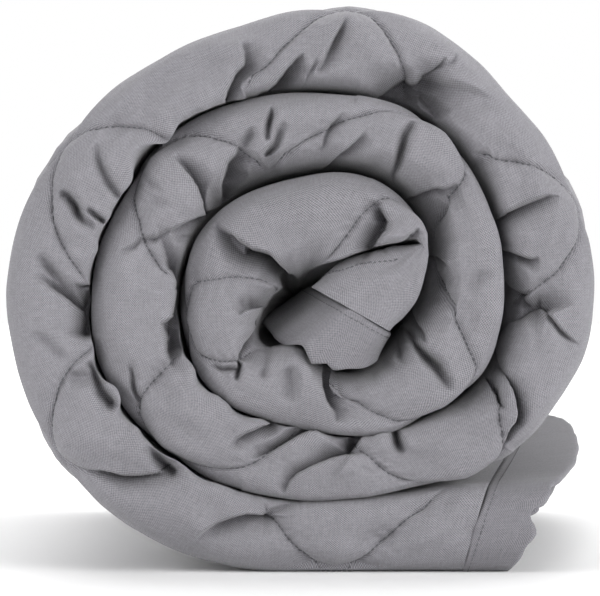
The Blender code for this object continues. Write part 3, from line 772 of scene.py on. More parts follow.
@dataclass
class Surface:
    """The strip's cloth as a grid of points, by station and row.

    The rows go round its section: the inner side behind the fold, the fold, a cuff behind it, the outer face,
    the plain end and the inner face. Across is -1 inside to 1 outside, and reach the distance round the fold.
    """

    sizes: Sizes
    strip: Strip

    # How many rows each part has, how far the cuff reaches and how far apart the plain end's rows count.
    back_rows: int = 5
    nose_rows: int = 86
    cuff_rows: int = 10
    face_rows: int = 84
    end_rows: int = 22
    under_rows: int = 10
    cuff: float = 10.0
    end_step: float = 12.0

    # The fold's section: the most that its sides run back, as shares of its thickness, and how its rows are
    # spaced, closer on a steep wall.
    deepest_inner: float = 1.9
    deepest_outer: float = 0.6
    dense: int = 260
    wall_from: float = 0.3
    wall_share: float = 0.42
    reach_power: int = 6

    # How its sides lean over the gaps: how fast that fades, and how it grows and ripples along the fold.
    lean_fades: float = 9.0
    lean_gain: float = 1.2
    leaning_out: float = 0.15
    closed_in: float = 0.8
    closed_out: float = 0.7
    closed_ripple: float = 0.3

    # The creases: how much deeper than listed, the most that they press in or stand out, and how they fade.
    deeper: float = 2.35
    deepest_crease: float = 0.85
    highest_crease: float = 2.0
    crease_fade: int = 4

    # Where the outer face is covered by the next turn, where its relief fades out at the far end, and what
    # counts as the outer and the inner side.
    covered_turn: float = 335.0
    covered_reach: float = 45.0
    end_fade: float = 22.0
    outer_side: float = 0.999
    inner_side: float = -0.97
    inner_seam: float = 0.3

    # Unevenness: how far puckers reach from a seam, how the gathers run and where they lie, and what is left
    # of it on the fold's sides.
    pucker_reach: float = 6.0
    gather_run: float = 0.2
    gather_from: float = 0.15
    gather_over: float = 1.1
    clear_from: float = 1.15
    clear_least: float = 0.12

    # Where the cloth lies on the floor, and where the fold's inner side hangs and moves along the roll alone.
    lying_turn: float = 12.0
    lying_side: float = 0.9
    hanging_from: float = 0.6
    hanging_over: float = 0.35

    points: np.ndarray = field(default=None)
    across: np.ndarray = field(default=None)
    reach: np.ndarray = field(default=None)

    @property
    def folded_rows(self) -> int:
        """Number of rows in the finely laid out part."""
        return self.back_rows + self.nose_rows + 1 + self.cuff_rows

    @property
    def on_nose(self) -> slice:
        """The rows of the fold."""
        return slice(self.back_rows, self.back_rows + self.nose_rows + 1)

    def depths(self) -> tuple:
        """Measures how far back the fold's sides run.

        Returns:
            The depth of its inner and of its outer side, at every station.
        """
        thick = self.strip.thickness[:, None]
        inner = along(SECTIONS, self.strip.angle, Section.INNER_DEPTH)[:, None]
        inner = np.minimum(inner, self.deepest_inner * thick)
        return inner, np.minimum(self.sizes.nose_depth, self.deepest_outer * thick)

    def nose(self) -> tuple:
        """Spaces the fold's rows evenly round its section, and closer on its steep walls.

        Returns:
            Across the fold from -1 inside to 1 outside, and depth behind its crest.
        """
        thick = self.strip.thickness[:, None]
        inner_depth, outer_depth = self.depths()
        swing = np.linspace(-pi / 2, pi / 2, self.dense)[None, :]
        columns = (Section.INNER_SQUARENESS, Section.OUTER_SQUARENESS)
        sides = [2 / along(SECTIONS, self.strip.angle, column)[:, None] for column in columns]
        power = np.where(swing < 0, *sides)
        across = np.sign(np.sin(swing)) * np.abs(np.sin(swing)) ** power
        depth = np.where(swing < 0, inner_depth, outer_depth)
        back = depth * (1 - np.abs(np.cos(swing)) ** power)
        wide, deep = np.diff(across, axis=1) * thick / 2, np.abs(np.diff(back, axis=1))
        on_wall = (deep > wide) & (back[:, 1:] > self.wall_from * outer_depth)
        length = np.hypot(wide, deep) * np.where(on_wall, self.wall_share, 1.0)
        moved = np.concatenate((np.zeros_like(thick), np.cumsum(length, axis=1)), axis=1)
        even = np.linspace(0, 1, self.nose_rows + 1)
        across = np.array([np.interp(even * m[-1], m, a) for m, a in zip(moved, across)])
        back = np.array([np.interp(even * m[-1], m, b) for m, b in zip(moved, back)])
        return across, back

    def rows(self) -> tuple:
        """Places the rows round every section.

        Returns:
            Across the fold, Y, and the distance round the fold.
        """
        s = self.sizes
        inner_depth, depth = self.depths()
        edge, back = s.edge_reach, s.roll_length / 2 - s.lobe_depth
        ones = np.ones_like(depth)
        rows = []
        for k in range(self.back_rows):
            past = self.cuff / 2 * (1 - k / self.back_rows)
            rows.append((-ones, s.front + inner_depth + past, -edge - inner_depth - past))
        across, behind = self.nose()
        reach = edge * across + np.sign(across) * np.abs(across) ** self.reach_power * behind
        rows.append((across, s.front + behind, reach))
        for k in range(1, self.cuff_rows + 1):
            past = self.cuff * k / self.cuff_rows
            rows.append((ones, s.front + depth + past, edge + depth + past))
        start = s.front + depth + self.cuff
        for k in range(1, self.face_rows + 1):
            y = start + (back - start) * k / self.face_rows
            rows.append((ones, y, edge + y - s.front))
        for k in range(1, self.end_rows):
            share = 1 - 2 * k / self.end_rows
            lobe = share if share > 0 else (abs(share) * 2) % 1.0
            sink = s.lobe_depth * (1 - sqrt(max(0.0, 1 - (2 * lobe - 1) ** 2)))
            y = back + s.lobe_depth - sink
            rows.append((share * ones, y * ones, (edge + y + self.end_step * k - s.front) * ones))
        for k in range(self.under_rows):
            y = back - (back - start - inner_depth + depth) * k / self.under_rows
            rows.append((-ones, y, -edge - (y - s.front)))
        return tuple(np.hstack(column) for column in zip(*rows))

    def lay_out(self) -> None:
        """Places the plain grid, before quilting and creases."""
        s, strip = self.sizes, self.strip
        thick = strip.thickness[:, None]
        self.across, y, self.reach = self.rows()
        behind = np.maximum(y - s.front, 0)
        sunk = smooth_step((y - s.front - s.deep_starts) / s.deep_from_fold)[..., None]
        inner = strip.inner[:, None] * (1 - sunk) + strip.deep[:, None] * sunk
        lean_in = along(SECTIONS, strip.angle, Section.LEAN_IN)[:, None]
        lean_out = along(SECTIONS, strip.angle, Section.LEAN_OUT)[:, None]
        ripple = (RIPPLE.at(strip.run, 0 * strip.run) + FINE_RIPPLE.at(strip.run, 0 * strip.run))[:, None]
        opened = np.maximum(-lean_in, 0) * np.exp(-behind / s.gap_reach)
        over_out = GAP_CLOSED * (self.closed_out + self.closed_ripple * ripple)
        lean_out = lean_out + over_out * (lean_out > self.leaning_out)
        over_in = GAP_CLOSED * (self.closed_in + ripple) * (lean_in > 0)
        lean_in = np.maximum(lean_in * (self.lean_gain + ripple), 0) + over_in
        near_front = np.exp(-behind / self.lean_fades)
        share = (self.across + 1) / 2
        share = share + (opened - lean_in * near_front) / thick * smooth_step(-2 * self.across - 1)
        share = (share + lean_out / thick * near_front * smooth_step(2 * self.across - 1))[..., None]
        flat = inner + (strip.outer[:, None] - inner) * share
        out = strip.beyond[:, None]
        roll = y / s.roll_length + 0.5
        flat[..., 0] += s.loose_skew * out * roll
        flat[..., 1] += s.loose_lift * out**2 * roll * (1 - share[..., 0])
        self.points = np.stack((flat[..., 0], y, flat[..., 1]), axis=-1)

    def normals(self) -> np.ndarray:
        """Measures the outward direction at every point.

        Returns:
            Unit vectors, by station and row.
        """
        ahead = np.gradient(self.points, axis=0)
        around = np.gradient(self.points, axis=1)
        up = np.cross(ahead, around)
        up /= np.linalg.norm(up, axis=-1, keepdims=True) + TINY
        middle = self.nose_rows // 2 + self.back_rows
        return -up if up[:, middle, 1].mean() > 0 else up

    def pressed_in(self) -> tuple:
        """Measures the creases.

        Returns:
            How far each point of the fold is pushed back, and its shift in X and Z.
        """
        crease, shift = Creasing(self.strip, self.sizes).press(self.points[:, self.on_nose][..., [0, 2]])
        back = self.points[:, self.on_nose, 1] - self.sizes.front
        inner_depth, outer_depth = self.depths()
        nose_depth = np.where(self.across[:, self.on_nose] < 0, inner_depth, outer_depth)
        free = 1 - np.clip(back / nose_depth, 0, 1) ** self.crease_fade
        crease = np.clip(self.deeper * crease, -self.highest_crease, self.deepest_crease * nose_depth) * free
        pushed = np.where(crease > 0, np.hypot(back, crease) - back, crease)
        return pushed, shift * free[..., None]

    def shape(self, quilting: Quilting) -> None:
        """Draws the grid in along the quilting and creases, and makes it uneven.

        Args:
            quilting: The stitched diamonds.
        """
        run = np.broadcast_to(self.strip.run[:, None], self.reach.shape)
        angle = np.broadcast_to(self.strip.angle[:, None], self.reach.shape)
        facing = self.normals()
        hollow, nearest = quilting.hollow(run, self.reach)
        in_fold = np.zeros(self.reach.shape)
        in_fold[:, : self.folded_rows] = 1
        outside = self.across >= self.outer_side
        covered = smooth_step(self.reach / self.covered_reach - 1) * (angle > self.covered_turn)
        end_fade = smooth_step((self.sizes.roll_length / 2 - self.points[..., 1]) / self.end_fade)
        seam = hollow * np.where(in_fold > 0, 1, outside * end_fade * (1 - covered))
        seam *= np.where(self.across < self.inner_side, self.inner_seam, 1)
        pushed, shift = self.pressed_in()
        soft = BROAD_WAVE.at(run, self.reach) + SMALL_WAVE.at(run, self.reach)
        gather = GATHERS.at(run, self.reach * self.gather_run)
        gather *= smooth_step((self.gather_from - self.across) / self.gather_over)
        pucker = PUCKERS.at(run - self.reach, run + self.reach) * np.exp(-nearest / self.pucker_reach)
        uneven = (soft + gather * in_fold + pucker) * np.where(outside | (in_fold > 0), 1, 0)
        uneven *= end_fade * (1 - covered)
        clear = np.clip(self.clear_from - np.abs(self.across), self.clear_least, 1)
        moved = -seam + np.where(in_fold > 0, uneven * clear, uneven)
        lying = (angle < self.lying_turn) & (self.across > self.lying_side)
        moved = np.maximum(np.where(lying, 0, moved), -0.5 * self.strip.thickness[:, None])
        hanging = smooth_step((-self.across - self.hanging_from) / self.hanging_over) * in_fold
        facing = facing * np.stack((1 - hanging, np.ones_like(hanging), 1 - hanging), axis=-1)
        self.points = self.points + facing * moved[..., None]
        self.points[:, self.on_nose, 1] += pushed
        self.points[:, self.on_nose, 0] += shift[..., 0]
        self.points[:, self.on_nose, 2] += shift[..., 1]
        self.points[..., 2] = np.maximum(self.points[..., 2], 0)

    def along_front(self, path: np.ndarray, stations: np.ndarray) -> tuple:
        """Follows a path, given in X and Z, over the fold.

        Args:
            path: The path's corners.
            stations: The stations it may lie on.

        Returns:
            The points on the cloth and the outward directions there.
        """
        spots = self.points[stations, self.on_nose].reshape(-1, 3)
        facing = self.normals()[stations, self.on_nose].reshape(-1, 3)
        moved = distances(np.hypot(*np.diff(path, axis=0).T))
        places = np.arange(0.0, moved[-1], 1.0)
        wanted = np.stack([np.interp(places, moved, path[:, k]) for k in range(2)], axis=-1)
        away = np.hypot(spots[:, None, 0] - wanted[None, :, 0], spots[:, None, 2] - wanted[None, :, 1])
        nearest = np.argmin(away, axis=0)
        return spots[nearest], facing[nearest]

    def place(self, run: np.ndarray, reach: np.ndarray) -> tuple:
        """Finds points of the shaped cloth.

        Args:
            run: Distances along the cloth.
            reach: Distances round the fold.

        Returns:
            The points and the outward directions there.
        """
        facing = self.normals()
        runs = self.strip.run
        i = np.clip(np.searchsorted(runs, run) - 1, 0, len(runs) - 2)
        f = np.clip((run - runs[i]) / (runs[i + 1] - runs[i] + TINY), 0, 1)
        out_points, out_facing = [], []
        last = self.folded_rows + self.face_rows
        for a, t, w in zip(i, f, reach):
            row = self.reach[a, :last]
            k = int(np.clip(np.searchsorted(row, w) - 1, 0, last - 2))
            g = float(np.clip((w - row[k]) / (row[k + 1] - row[k] + TINY), 0, 1))
            near = (1 - t) * self.points[a, k] + t * self.points[a + 1, k]
            far = (1 - t) * self.points[a, k + 1] + t * self.points[a + 1, k + 1]
            out_points.append((1 - g) * near + g * far)
            out_facing.append(facing[a, k])
        return np.array(out_points), np.array(out_facing)


def to_frame(points: np.ndarray, centre: float) -> np.ndarray:
    """Moves points from the roll's own millimetres to the frame's metres.

    Args:
        points: X, Y and Z in the last axis.
        centre: X of the roll's centre in the frame.

    Returns:
        The moved points.
    """
    placed = np.array(points, dtype=float) * MM
    placed[..., 0] += centre
    return placed


@dataclass
class MeshMaker:
    """Collects points, faces and cloth coordinates, and makes an object of them."""

    name: str
    points: list = field(default_factory=list)
    faces: list = field(default_factory=list)
    cloth: list = field(default_factory=list)
    facing: list = field(default_factory=list)

    def make(self, finish: bpy.types.Material) -> bpy.types.Object:
        """Makes the object.

        Args:
            finish: Its material.

        Returns:
            The object, its points in metres.
        """
        mesh = bpy.data.meshes.new(self.name)
        mesh.from_pydata(self.points, [], self.faces)
        if self.cloth:
            layer = mesh.uv_layers.new(name=CLOTH)
            coords = np.array(self.cloth, dtype=np.float32)
            corners = np.empty(len(mesh.loops), dtype=np.int32)
            mesh.loops.foreach_get("vertex_index", corners)
            layer.data.foreach_set("uv", coords[corners].ravel())
        mesh.materials.append(finish)
        mesh.validate()
        mesh.shade_smooth()
        if self.facing:
            mesh.normals_split_custom_set_from_vertices(self.facing)
        made = bpy.data.objects.new(self.name, mesh)
        bpy.context.scene.collection.objects.link(made)
        return made


def dress(piece: bpy.types.Object, node: str = "", fill: float = 0.0) -> None:
    """Gives a piece its body, and hides the CAD node that it replaces, if any.

    Args:
        piece: The piece.
        node: The CAD node that it replaces, if any.
        fill: How full it is, for a padded piece; not used.
    """
    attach(piece, ROOT)
    if node:
        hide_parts(node)


@dataclass
class StripMesh:
    """Cuts a shaped surface into meshes: fine ones round its fold, and a coarse one over its faces."""

    surface: Surface
    centre: float
    coarse: int = 6
    cloth_scale: float = 0.01
    reach_scale: float = 0.75

    def __post_init__(self) -> None:
        """Prepares the points, their directions and their places on the cloth."""
        s = self.surface
        self.stations, self.rows = s.reach.shape
        self.points = to_frame(s.points, self.centre)
        self.facing = s.normals()
        run = np.broadcast_to(s.strip.run[:, None], s.reach.shape)
        self.cloth = np.stack((run, s.reach * self.reach_scale), axis=-1) * self.cloth_scale

    def maker(self, name: str, use: np.ndarray) -> tuple:
        """Starts a mesh of some of the points.

        Args:
            name: Name of the object.
            use: Which points it has.

        Returns:
            The mesh, and each point's number in it.
        """
        keep = -np.ones(use.shape, dtype=int)
        keep[use] = np.arange(use.sum())
        made = MeshMaker(name)
        made.points = self.points[use].tolist()
        made.cloth = self.cloth[use].tolist()
        made.facing = self.facing[use].tolist()
        return made, keep

    def fold(self, name: str, first: int, last: int) -> MeshMaker:
        """Makes a fine mesh round the fold.

        Args:
            name: Name of the object.
            first: Station that it starts at.
            last: Station that it ends at.

        Returns:
            The mesh.
        """
        fine = self.surface.folded_rows
        last = min(last, self.stations - 1)
        use = np.zeros(self.surface.reach.shape, dtype=bool)
        use[first : last + 1, :fine] = True
        made, keep = self.maker(name, use)
        near, far = keep[first:last, : fine - 1], keep[first + 1 : last + 1, : fine - 1]
        near_up, far_up = keep[first:last, 1:fine], keep[first + 1 : last + 1, 1:fine]
        made.faces = np.stack((near, far, far_up, near_up), axis=-1).reshape(-1, 4).tolist()
        return made

    def faces(self, name: str) -> MeshMaker:
        """Makes the coarse mesh of the outer face, the plain end and the inner face.

        Args:
            name: Name of the object.

        Returns:
            The mesh.
        """
        fine = self.surface.folded_rows
        use = np.zeros(self.surface.reach.shape, dtype=bool)
        use[: self.stations, 0] = True
        use[: self.stations, fine - 1] = True
        marks = [*range(0, self.stations - 1, self.coarse), self.stations - 1]
        use[marks, fine:] = True
        use[0, :] = True
        use[self.stations - 1, :] = True
        made, keep = self.maker(name, use)
        for i, ahead in zip(marks[:-1], marks[1:]):
            for k in range(fine, self.rows - 1):
                made.faces.append((keep[i, k], keep[ahead, k], keep[ahead, k + 1], keep[i, k + 1]))
            edge = [keep[j, fine - 1] for j in range(i, ahead + 1)]
            made.faces.append((*edge, keep[ahead, fine], keep[i, fine]))
            edge = [keep[j, 0] for j in range(i, ahead + 1)]
            made.faces.append((*edge[::-1], keep[i, self.rows - 1], keep[ahead, self.rows - 1]))
        made.facing = []
        return made


@dataclass
class Threads:
    """Sewn stitches as short lengths of thread, joined in one mesh.

    A stitch is length long, gap from the next, and made of rings of sides points. Look is how far along the
    path its direction is read. In its middle it rises by rise, less dip, and it is thinnest at its ends and
    swells by swell, all as shares of its radius.
    """

    name: str
    centre: float
    length: float
    gap: float
    radius: float = 0.3
    sides: int = 5
    rings: int = 5
    look: float = 0.5
    rise: float = 1.5
    dip: float = 0.5
    thinnest: float = 0.55
    swell: float = 0.45

    def make(self, runs: list, finish: bpy.types.Material) -> bpy.types.Object:
        """Sews along each path.

        Args:
            runs: Pairs of points and outward directions, one pair a path.
            finish: The thread's material.

        Returns:
            The stitches.
        """
        maker = MeshMaker(self.name)
        for points, facing in runs:
            moved = distances(np.linalg.norm(np.diff(points, axis=0), axis=1))
            place = self.gap
            while place + self.length < moved[-1]:
                self.stitch(maker, points, facing, moved, place)
                place += self.length + self.gap
        return maker.make(finish)

    def stitch(
        self, maker: MeshMaker, points: np.ndarray, facing: np.ndarray, moved: np.ndarray, place: float
    ) -> None:
        """Adds one stitch, its ends thinner and dipping into the cloth.

        Args:
            maker: The mesh to add to.
            points: The path's points.
            facing: The outward directions there.
            moved: Distance along the path at each of them.
            place: Distance along the path at which the stitch starts.
        """
        def read(values: np.ndarray, at: float) -> np.ndarray:
            """Reads values at a distance along the path."""
            return np.array([np.interp(at, moved, values[:, c]) for c in range(3)])

        first = len(maker.points)
        for share in np.linspace(0, 1, self.rings):
            at = place + self.length * share
            here, up = read(points, at), read(facing, at)
            ahead = read(points, at + self.look) - read(points, at - self.look)
            ahead /= np.linalg.norm(ahead) + TINY
            aside = np.cross(ahead, up)
            aside /= np.linalg.norm(aside) + TINY
            up = np.cross(aside, ahead)
            rise = self.radius * (self.rise * sin(pi * share) - self.dip)
            width = self.radius * (self.thinnest + self.swell * sin(pi * share))
            for side in range(self.sides):
                turn = 2 * pi * side / self.sides
                spot = here + up * (rise + width * sin(turn)) + aside * width * cos(turn)
                maker.points.append(tuple(to_frame(spot, self.centre)))
        for ring in range(self.rings - 1):
            for side in range(self.sides):
                a = first + ring * self.sides + side
                b = first + ring * self.sides + (side + 1) % self.sides
                maker.faces.append((a, b, b + self.sides, a + self.sides))
        maker.faces.append(tuple(range(first + self.sides - 1, first - 1, -1)))
        end = first + (self.rings - 1) * self.sides
        maker.faces.append(tuple(range(end, end + self.sides)))


def new_group(name: str, inputs: tuple, outputs: tuple) -> bpy.types.ShaderNodeTree:
    """Starts a shader node group.

    Args:
        name: Its name.
        inputs: Name and default of each input, a plain number.
        outputs: Name of each output, a plain number.

    Returns:
        The group, with its input and output nodes.
    """
    group = bpy.data.node_groups.new(name, "ShaderNodeTree")
    for label, default in inputs:
        socket = group.interface.new_socket(label, in_out="INPUT", socket_type="NodeSocketFloat")
        socket.default_value = default
    for label in outputs:
        group.interface.new_socket(label, in_out="OUTPUT", socket_type="NodeSocketFloat")
    group.nodes.new("NodeGroupInput").name = "in"
    group.nodes.new("NodeGroupOutput").name = "out"
    return group


def new_material(name: str, plain: dict) -> tuple:
    """Starts a material.

    Args:
        name: Its name.
        plain: Values for its shader's own sockets.

    Returns:
        The material, its node tree and its shader's inputs.
    """
    made = bpy.data.materials.new(name)
    made.use_nodes = True
    inputs = made.node_tree.nodes["Principled BSDF"].inputs
    for label, value in plain.items():
        inputs[label].default_value = value
    return made, made.node_tree, inputs


def add_node(tree: bpy.types.NodeTree, kind: str, inputs: dict, **settings: object) -> bpy.types.Node:
    """Adds a shader node.

    Args:
        tree: The node tree.
        kind: The node's type.
        inputs: What feeds each of its inputs: an output of another node, or a plain value.
        settings: Its own settings.

    Returns:
        The node.
    """
    made = tree.nodes.new("ShaderNode" + kind)
    for label, value in settings.items():
        setattr(made, label, value)
    for place, value in inputs.items():
        if isinstance(value, bpy.types.NodeSocket):
            tree.links.new(value, made.inputs[place])
        else:
            made.inputs[place].default_value = value
    return made


def worked_out(tree: bpy.types.NodeTree, operation: str, *given: object) -> bpy.types.NodeSocket:
    """Adds a math node and gives its output."""
    return add_node(tree, "Math", dict(enumerate(given)), operation=operation).outputs[0]


@dataclass(frozen=True)
class PlainWeave:
    """The weave that every cloth shares: threads over and under, bent a little, with slubs both ways."""

    pitch: float = 200.0
    slub: float = 0.5
    bent: float = 1.6
    bend_scale: float = 22.0
    bend_detail: float = 2.0
    slub_long: float = 14.0
    slub_across: float = 200.0
    slub_detail: float = 3.0
    slub_roughness: float = 0.7
    relief: float = 0.5

    def group(self) -> bpy.types.ShaderNodeTree:
        """Builds the node group.

        Returns:
            The group, which puts out a height and a tone.
        """
        tree = new_group("plain_weave", (("Pitch", self.pitch), ("Slub", self.slub)), ("Height", "Tone"))
        given, result = tree.nodes["in"].outputs, tree.nodes["out"].inputs
        cloth = add_node(tree, "UVMap", {}, uv_map=CLOTH).outputs["UV"]
        scaled = add_node(tree, "VectorMath", {0: cloth, "Scale": given["Pitch"]}, operation="SCALE")
        noise = {"Vector": cloth, "Scale": self.bend_scale, "Detail": self.bend_detail}
        bend = add_node(tree, "TexNoise", noise)
        bent = {0: bend.outputs["Color"], 1: (self.bent, self.bent, 0.0), 2: scaled.outputs["Vector"]}
        shifted = add_node(tree, "VectorMath", bent, operation="MULTIPLY_ADD").outputs["Vector"]
        split = add_node(tree, "SeparateXYZ", {0: shifted}).outputs
        bands = [worked_out(tree, "SINE", worked_out(tree, "MULTIPLY", split[axis], pi)) for axis in "XY"]
        crossing = worked_out(tree, "MULTIPLY", *bands)
        slubs = []
        for stretch in ((self.slub_long, self.slub_across, 1.0), (self.slub_across, self.slub_long, 1.0)):
            drawn = add_node(tree, "VectorMath", {0: cloth, 1: stretch}, operation="MULTIPLY")
            noise = {"Scale": 1.0, "Detail": self.slub_detail, "Roughness": self.slub_roughness}
            noise["Vector"] = drawn.outputs["Vector"]
            slubs.append(add_node(tree, "TexNoise", noise).outputs["Fac"])
        centred = worked_out(tree, "SUBTRACT", worked_out(tree, "ADD", *slubs), 1.0)
        slub = worked_out(tree, "MULTIPLY", centred, given["Slub"])
        tree.links.new(worked_out(tree, "MULTIPLY_ADD", crossing, self.relief, slub), result["Height"])
        tree.links.new(worked_out(tree, "ADD", crossing, slub), result["Tone"])
        return tree


@dataclass(frozen=True)
class HandledCloth:
    """The soft unevenness of washed cloth, the same on every cloth piece: broad tone and fine lint."""

    size: float = 20.0
    detail: float = 4.0
    lint: float = 1400.0
    lint_detail: float = 1.0

    def group(self) -> bpy.types.ShaderNodeTree:
        """Builds the node group.

        Returns:
            The group, which puts out a tone.
        """
        tree = new_group("handled_cloth", (("Size", self.size),), ("Tone",))
        place = add_node(tree, "TexCoord", {}).outputs["Object"]
        size = tree.nodes["in"].outputs["Size"]
        broad = add_node(tree, "TexNoise", {"Vector": place, "Scale": size, "Detail": self.detail})
        fine = {"Vector": place, "Scale": self.lint, "Detail": self.lint_detail}
        lint = add_node(tree, "TexNoise", fine)
        both = worked_out(tree, "ADD", broad.outputs["Fac"], lint.outputs["Fac"])
        tree.links.new(worked_out(tree, "SUBTRACT", both, 1.0), tree.nodes["out"].inputs["Tone"])
        return tree


@dataclass(frozen=True)
class CottonFinish:
    """Plain-woven cotton in one colour."""

    name: str
    colour: tuple
    pitch: float = 205.0
    slub: float = 1.3
    bump: float = 0.35
    bump_height: float = 0.0002
    contrast: float = 0.5
    handled: float = 0.5
    roughness: float = 0.92
    gloss: float = 0.18
    sheen: float = 0.17
    sheen_roughness: float = 0.5

    def material(
        self, weave: bpy.types.ShaderNodeTree, handled: bpy.types.ShaderNodeTree
    ) -> bpy.types.Material:
        """Builds the material from the shared node groups.

        Args:
            weave: The weave's group.
            handled: The group for the cloth's soft unevenness.

        Returns:
            The material.
        """
        plain = {
            "Roughness": self.roughness,
            "Specular IOR Level": self.gloss,
            "Sheen Weight": self.sheen,
            "Sheen Roughness": self.sheen_roughness,
        }
        made, tree, shader = new_material(self.name, plain)
        woven = {"Pitch": self.pitch, "Slub": self.slub}
        threads = add_node(tree, "Group", woven, node_tree=weave).outputs
        worn = add_node(tree, "Group", {}, node_tree=handled).outputs["Tone"]
        tone = worked_out(tree, "MULTIPLY_ADD", worn, self.handled, threads["Tone"])
        light = worked_out(tree, "MULTIPLY_ADD", tone, self.contrast, 1.0)
        colour = add_node(tree, "VectorMath", {0: self.colour, "Scale": light}, operation="SCALE")
        tree.links.new(colour.outputs["Vector"], shader["Base Color"])
        relief = {"Strength": self.bump, "Distance": self.bump_height, "Height": threads["Height"]}
        tree.links.new(add_node(tree, "Bump", relief).outputs["Normal"], shader["Normal"])
        return made


@dataclass(frozen=True)
class ThreadFinish:
    """Matt sewing thread."""

    name: str
    colour: tuple
    roughness: float = 0.7
    gloss: float = 0.3
    twist: float = 2500.0
    darkest: float = 0.8
    lightest: float = 1.2

    def material(self) -> bpy.types.Material:
        """Builds the material, with a fine twist in its tone.

        Returns:
            The material.
        """
        plain = {"Roughness": self.roughness, "Specular IOR Level": self.gloss}
        made, tree, shader = new_material(self.name, plain)
        place = add_node(tree, "TexCoord", {}).outputs["Object"]
        twist = add_node(tree, "TexNoise", {"Vector": place, "Scale": self.twist}).outputs["Fac"]
        tone = {"Value": twist, "To Min": self.darkest, "To Max": self.lightest}
        scale = add_node(tree, "MapRange", tone).outputs["Result"]
        colour = add_node(tree, "VectorMath", {0: self.colour, "Scale": scale}, operation="SCALE")
        tree.links.new(colour.outputs["Vector"], shader["Base Color"])
        return made


@dataclass
class QuiltedBody:
    """The quilted strip with its stitching.

    Its lines of stitches start stitched_from round the fold and end short of the far end by stitched_to.
    """

    sizes: Sizes
    winding: Winding
    centre: float
    fill: float = 0.7
    stitch: float = 1.6
    stitch_gap: float = 0.7
    stitched_from: float = -22.0
    stitched_to: float = 14.0
    stitch_step: float = 1.5
    shown_turn: float = 335.0
    shown_reach: float = 40.0
    end_margin: float = 2.0
    fewest: int = 6
    strip: Strip = field(default=None)
    surface: Surface = field(default=None)
    quilting: Quilting = field(default=None)

    def build(self, cotton: bpy.types.Material, thread: bpy.types.Material) -> list:
        """Builds the cloth and its stitches.

        Args:
            cotton: The cloth's material.
            thread: The stitches' material.

        Returns:
            The pieces.
        """
        self.strip = self.winding.strip()
        self.surface = Surface(self.sizes, self.strip)
        self.surface.lay_out()
        self.quilting = Quilting(self.sizes, self.strip)
        self.surface.shape(self.quilting)
        cut = StripMesh(self.surface, self.centre)
        turns = self.strip.angle
        ends = [0, *(int(np.argmax(turns >= turn)) for turn in FOLD_CUTS), len(turns)]
        folds = [cut.fold(f"quilted_fold_{k + 1}", *ends[k : k + 2]) for k in range(len(ends) - 1)]
        body = [made.make(cotton) for made in (*folds, cut.faces("quilted_faces"))]
        for piece in body:
            dress(piece, node="quilted_body", fill=self.fill)
        sewing = Threads("quilting_stitches", self.centre, self.stitch, self.stitch_gap)
        seams = sewing.make(self.seam_paths(), thread)
        dress(seams)
        return [*body, seams]

    def seam_paths(self) -> list:
        """Follows every quilting line over the fold and, where it shows, over the outer face.

        Returns:
            Pairs of points and outward directions, one pair a path.
        """
        paths = []
        runs, angles = self.strip.run, self.strip.angle
        for line in self.quilting.lines:
            reach = np.arange(self.stitched_from, self.sizes.roll_length - self.stitched_to, self.stitch_step)
            run = self.quilting.run_of(line, reach)
            showing = (np.interp(run, runs, angles) < self.shown_turn) | (reach < self.shown_reach)
            inside = (run > runs[0] + self.end_margin) & (run < runs[-1] - self.end_margin)
            shown = inside & showing
            for piece in np.split(np.arange(len(reach)), np.flatnonzero(np.diff(shown.astype(int))) + 1):
                if len(piece) > self.fewest and shown[piece[0]]:
                    paths.append(self.surface.place(run[piece], reach[piece]))
        lapped = np.flatnonzero(angles > LAST_FULL_TURN)
        paths.append(self.surface.along_front(np.array(LAP_STITCHES), lapped))
        return paths


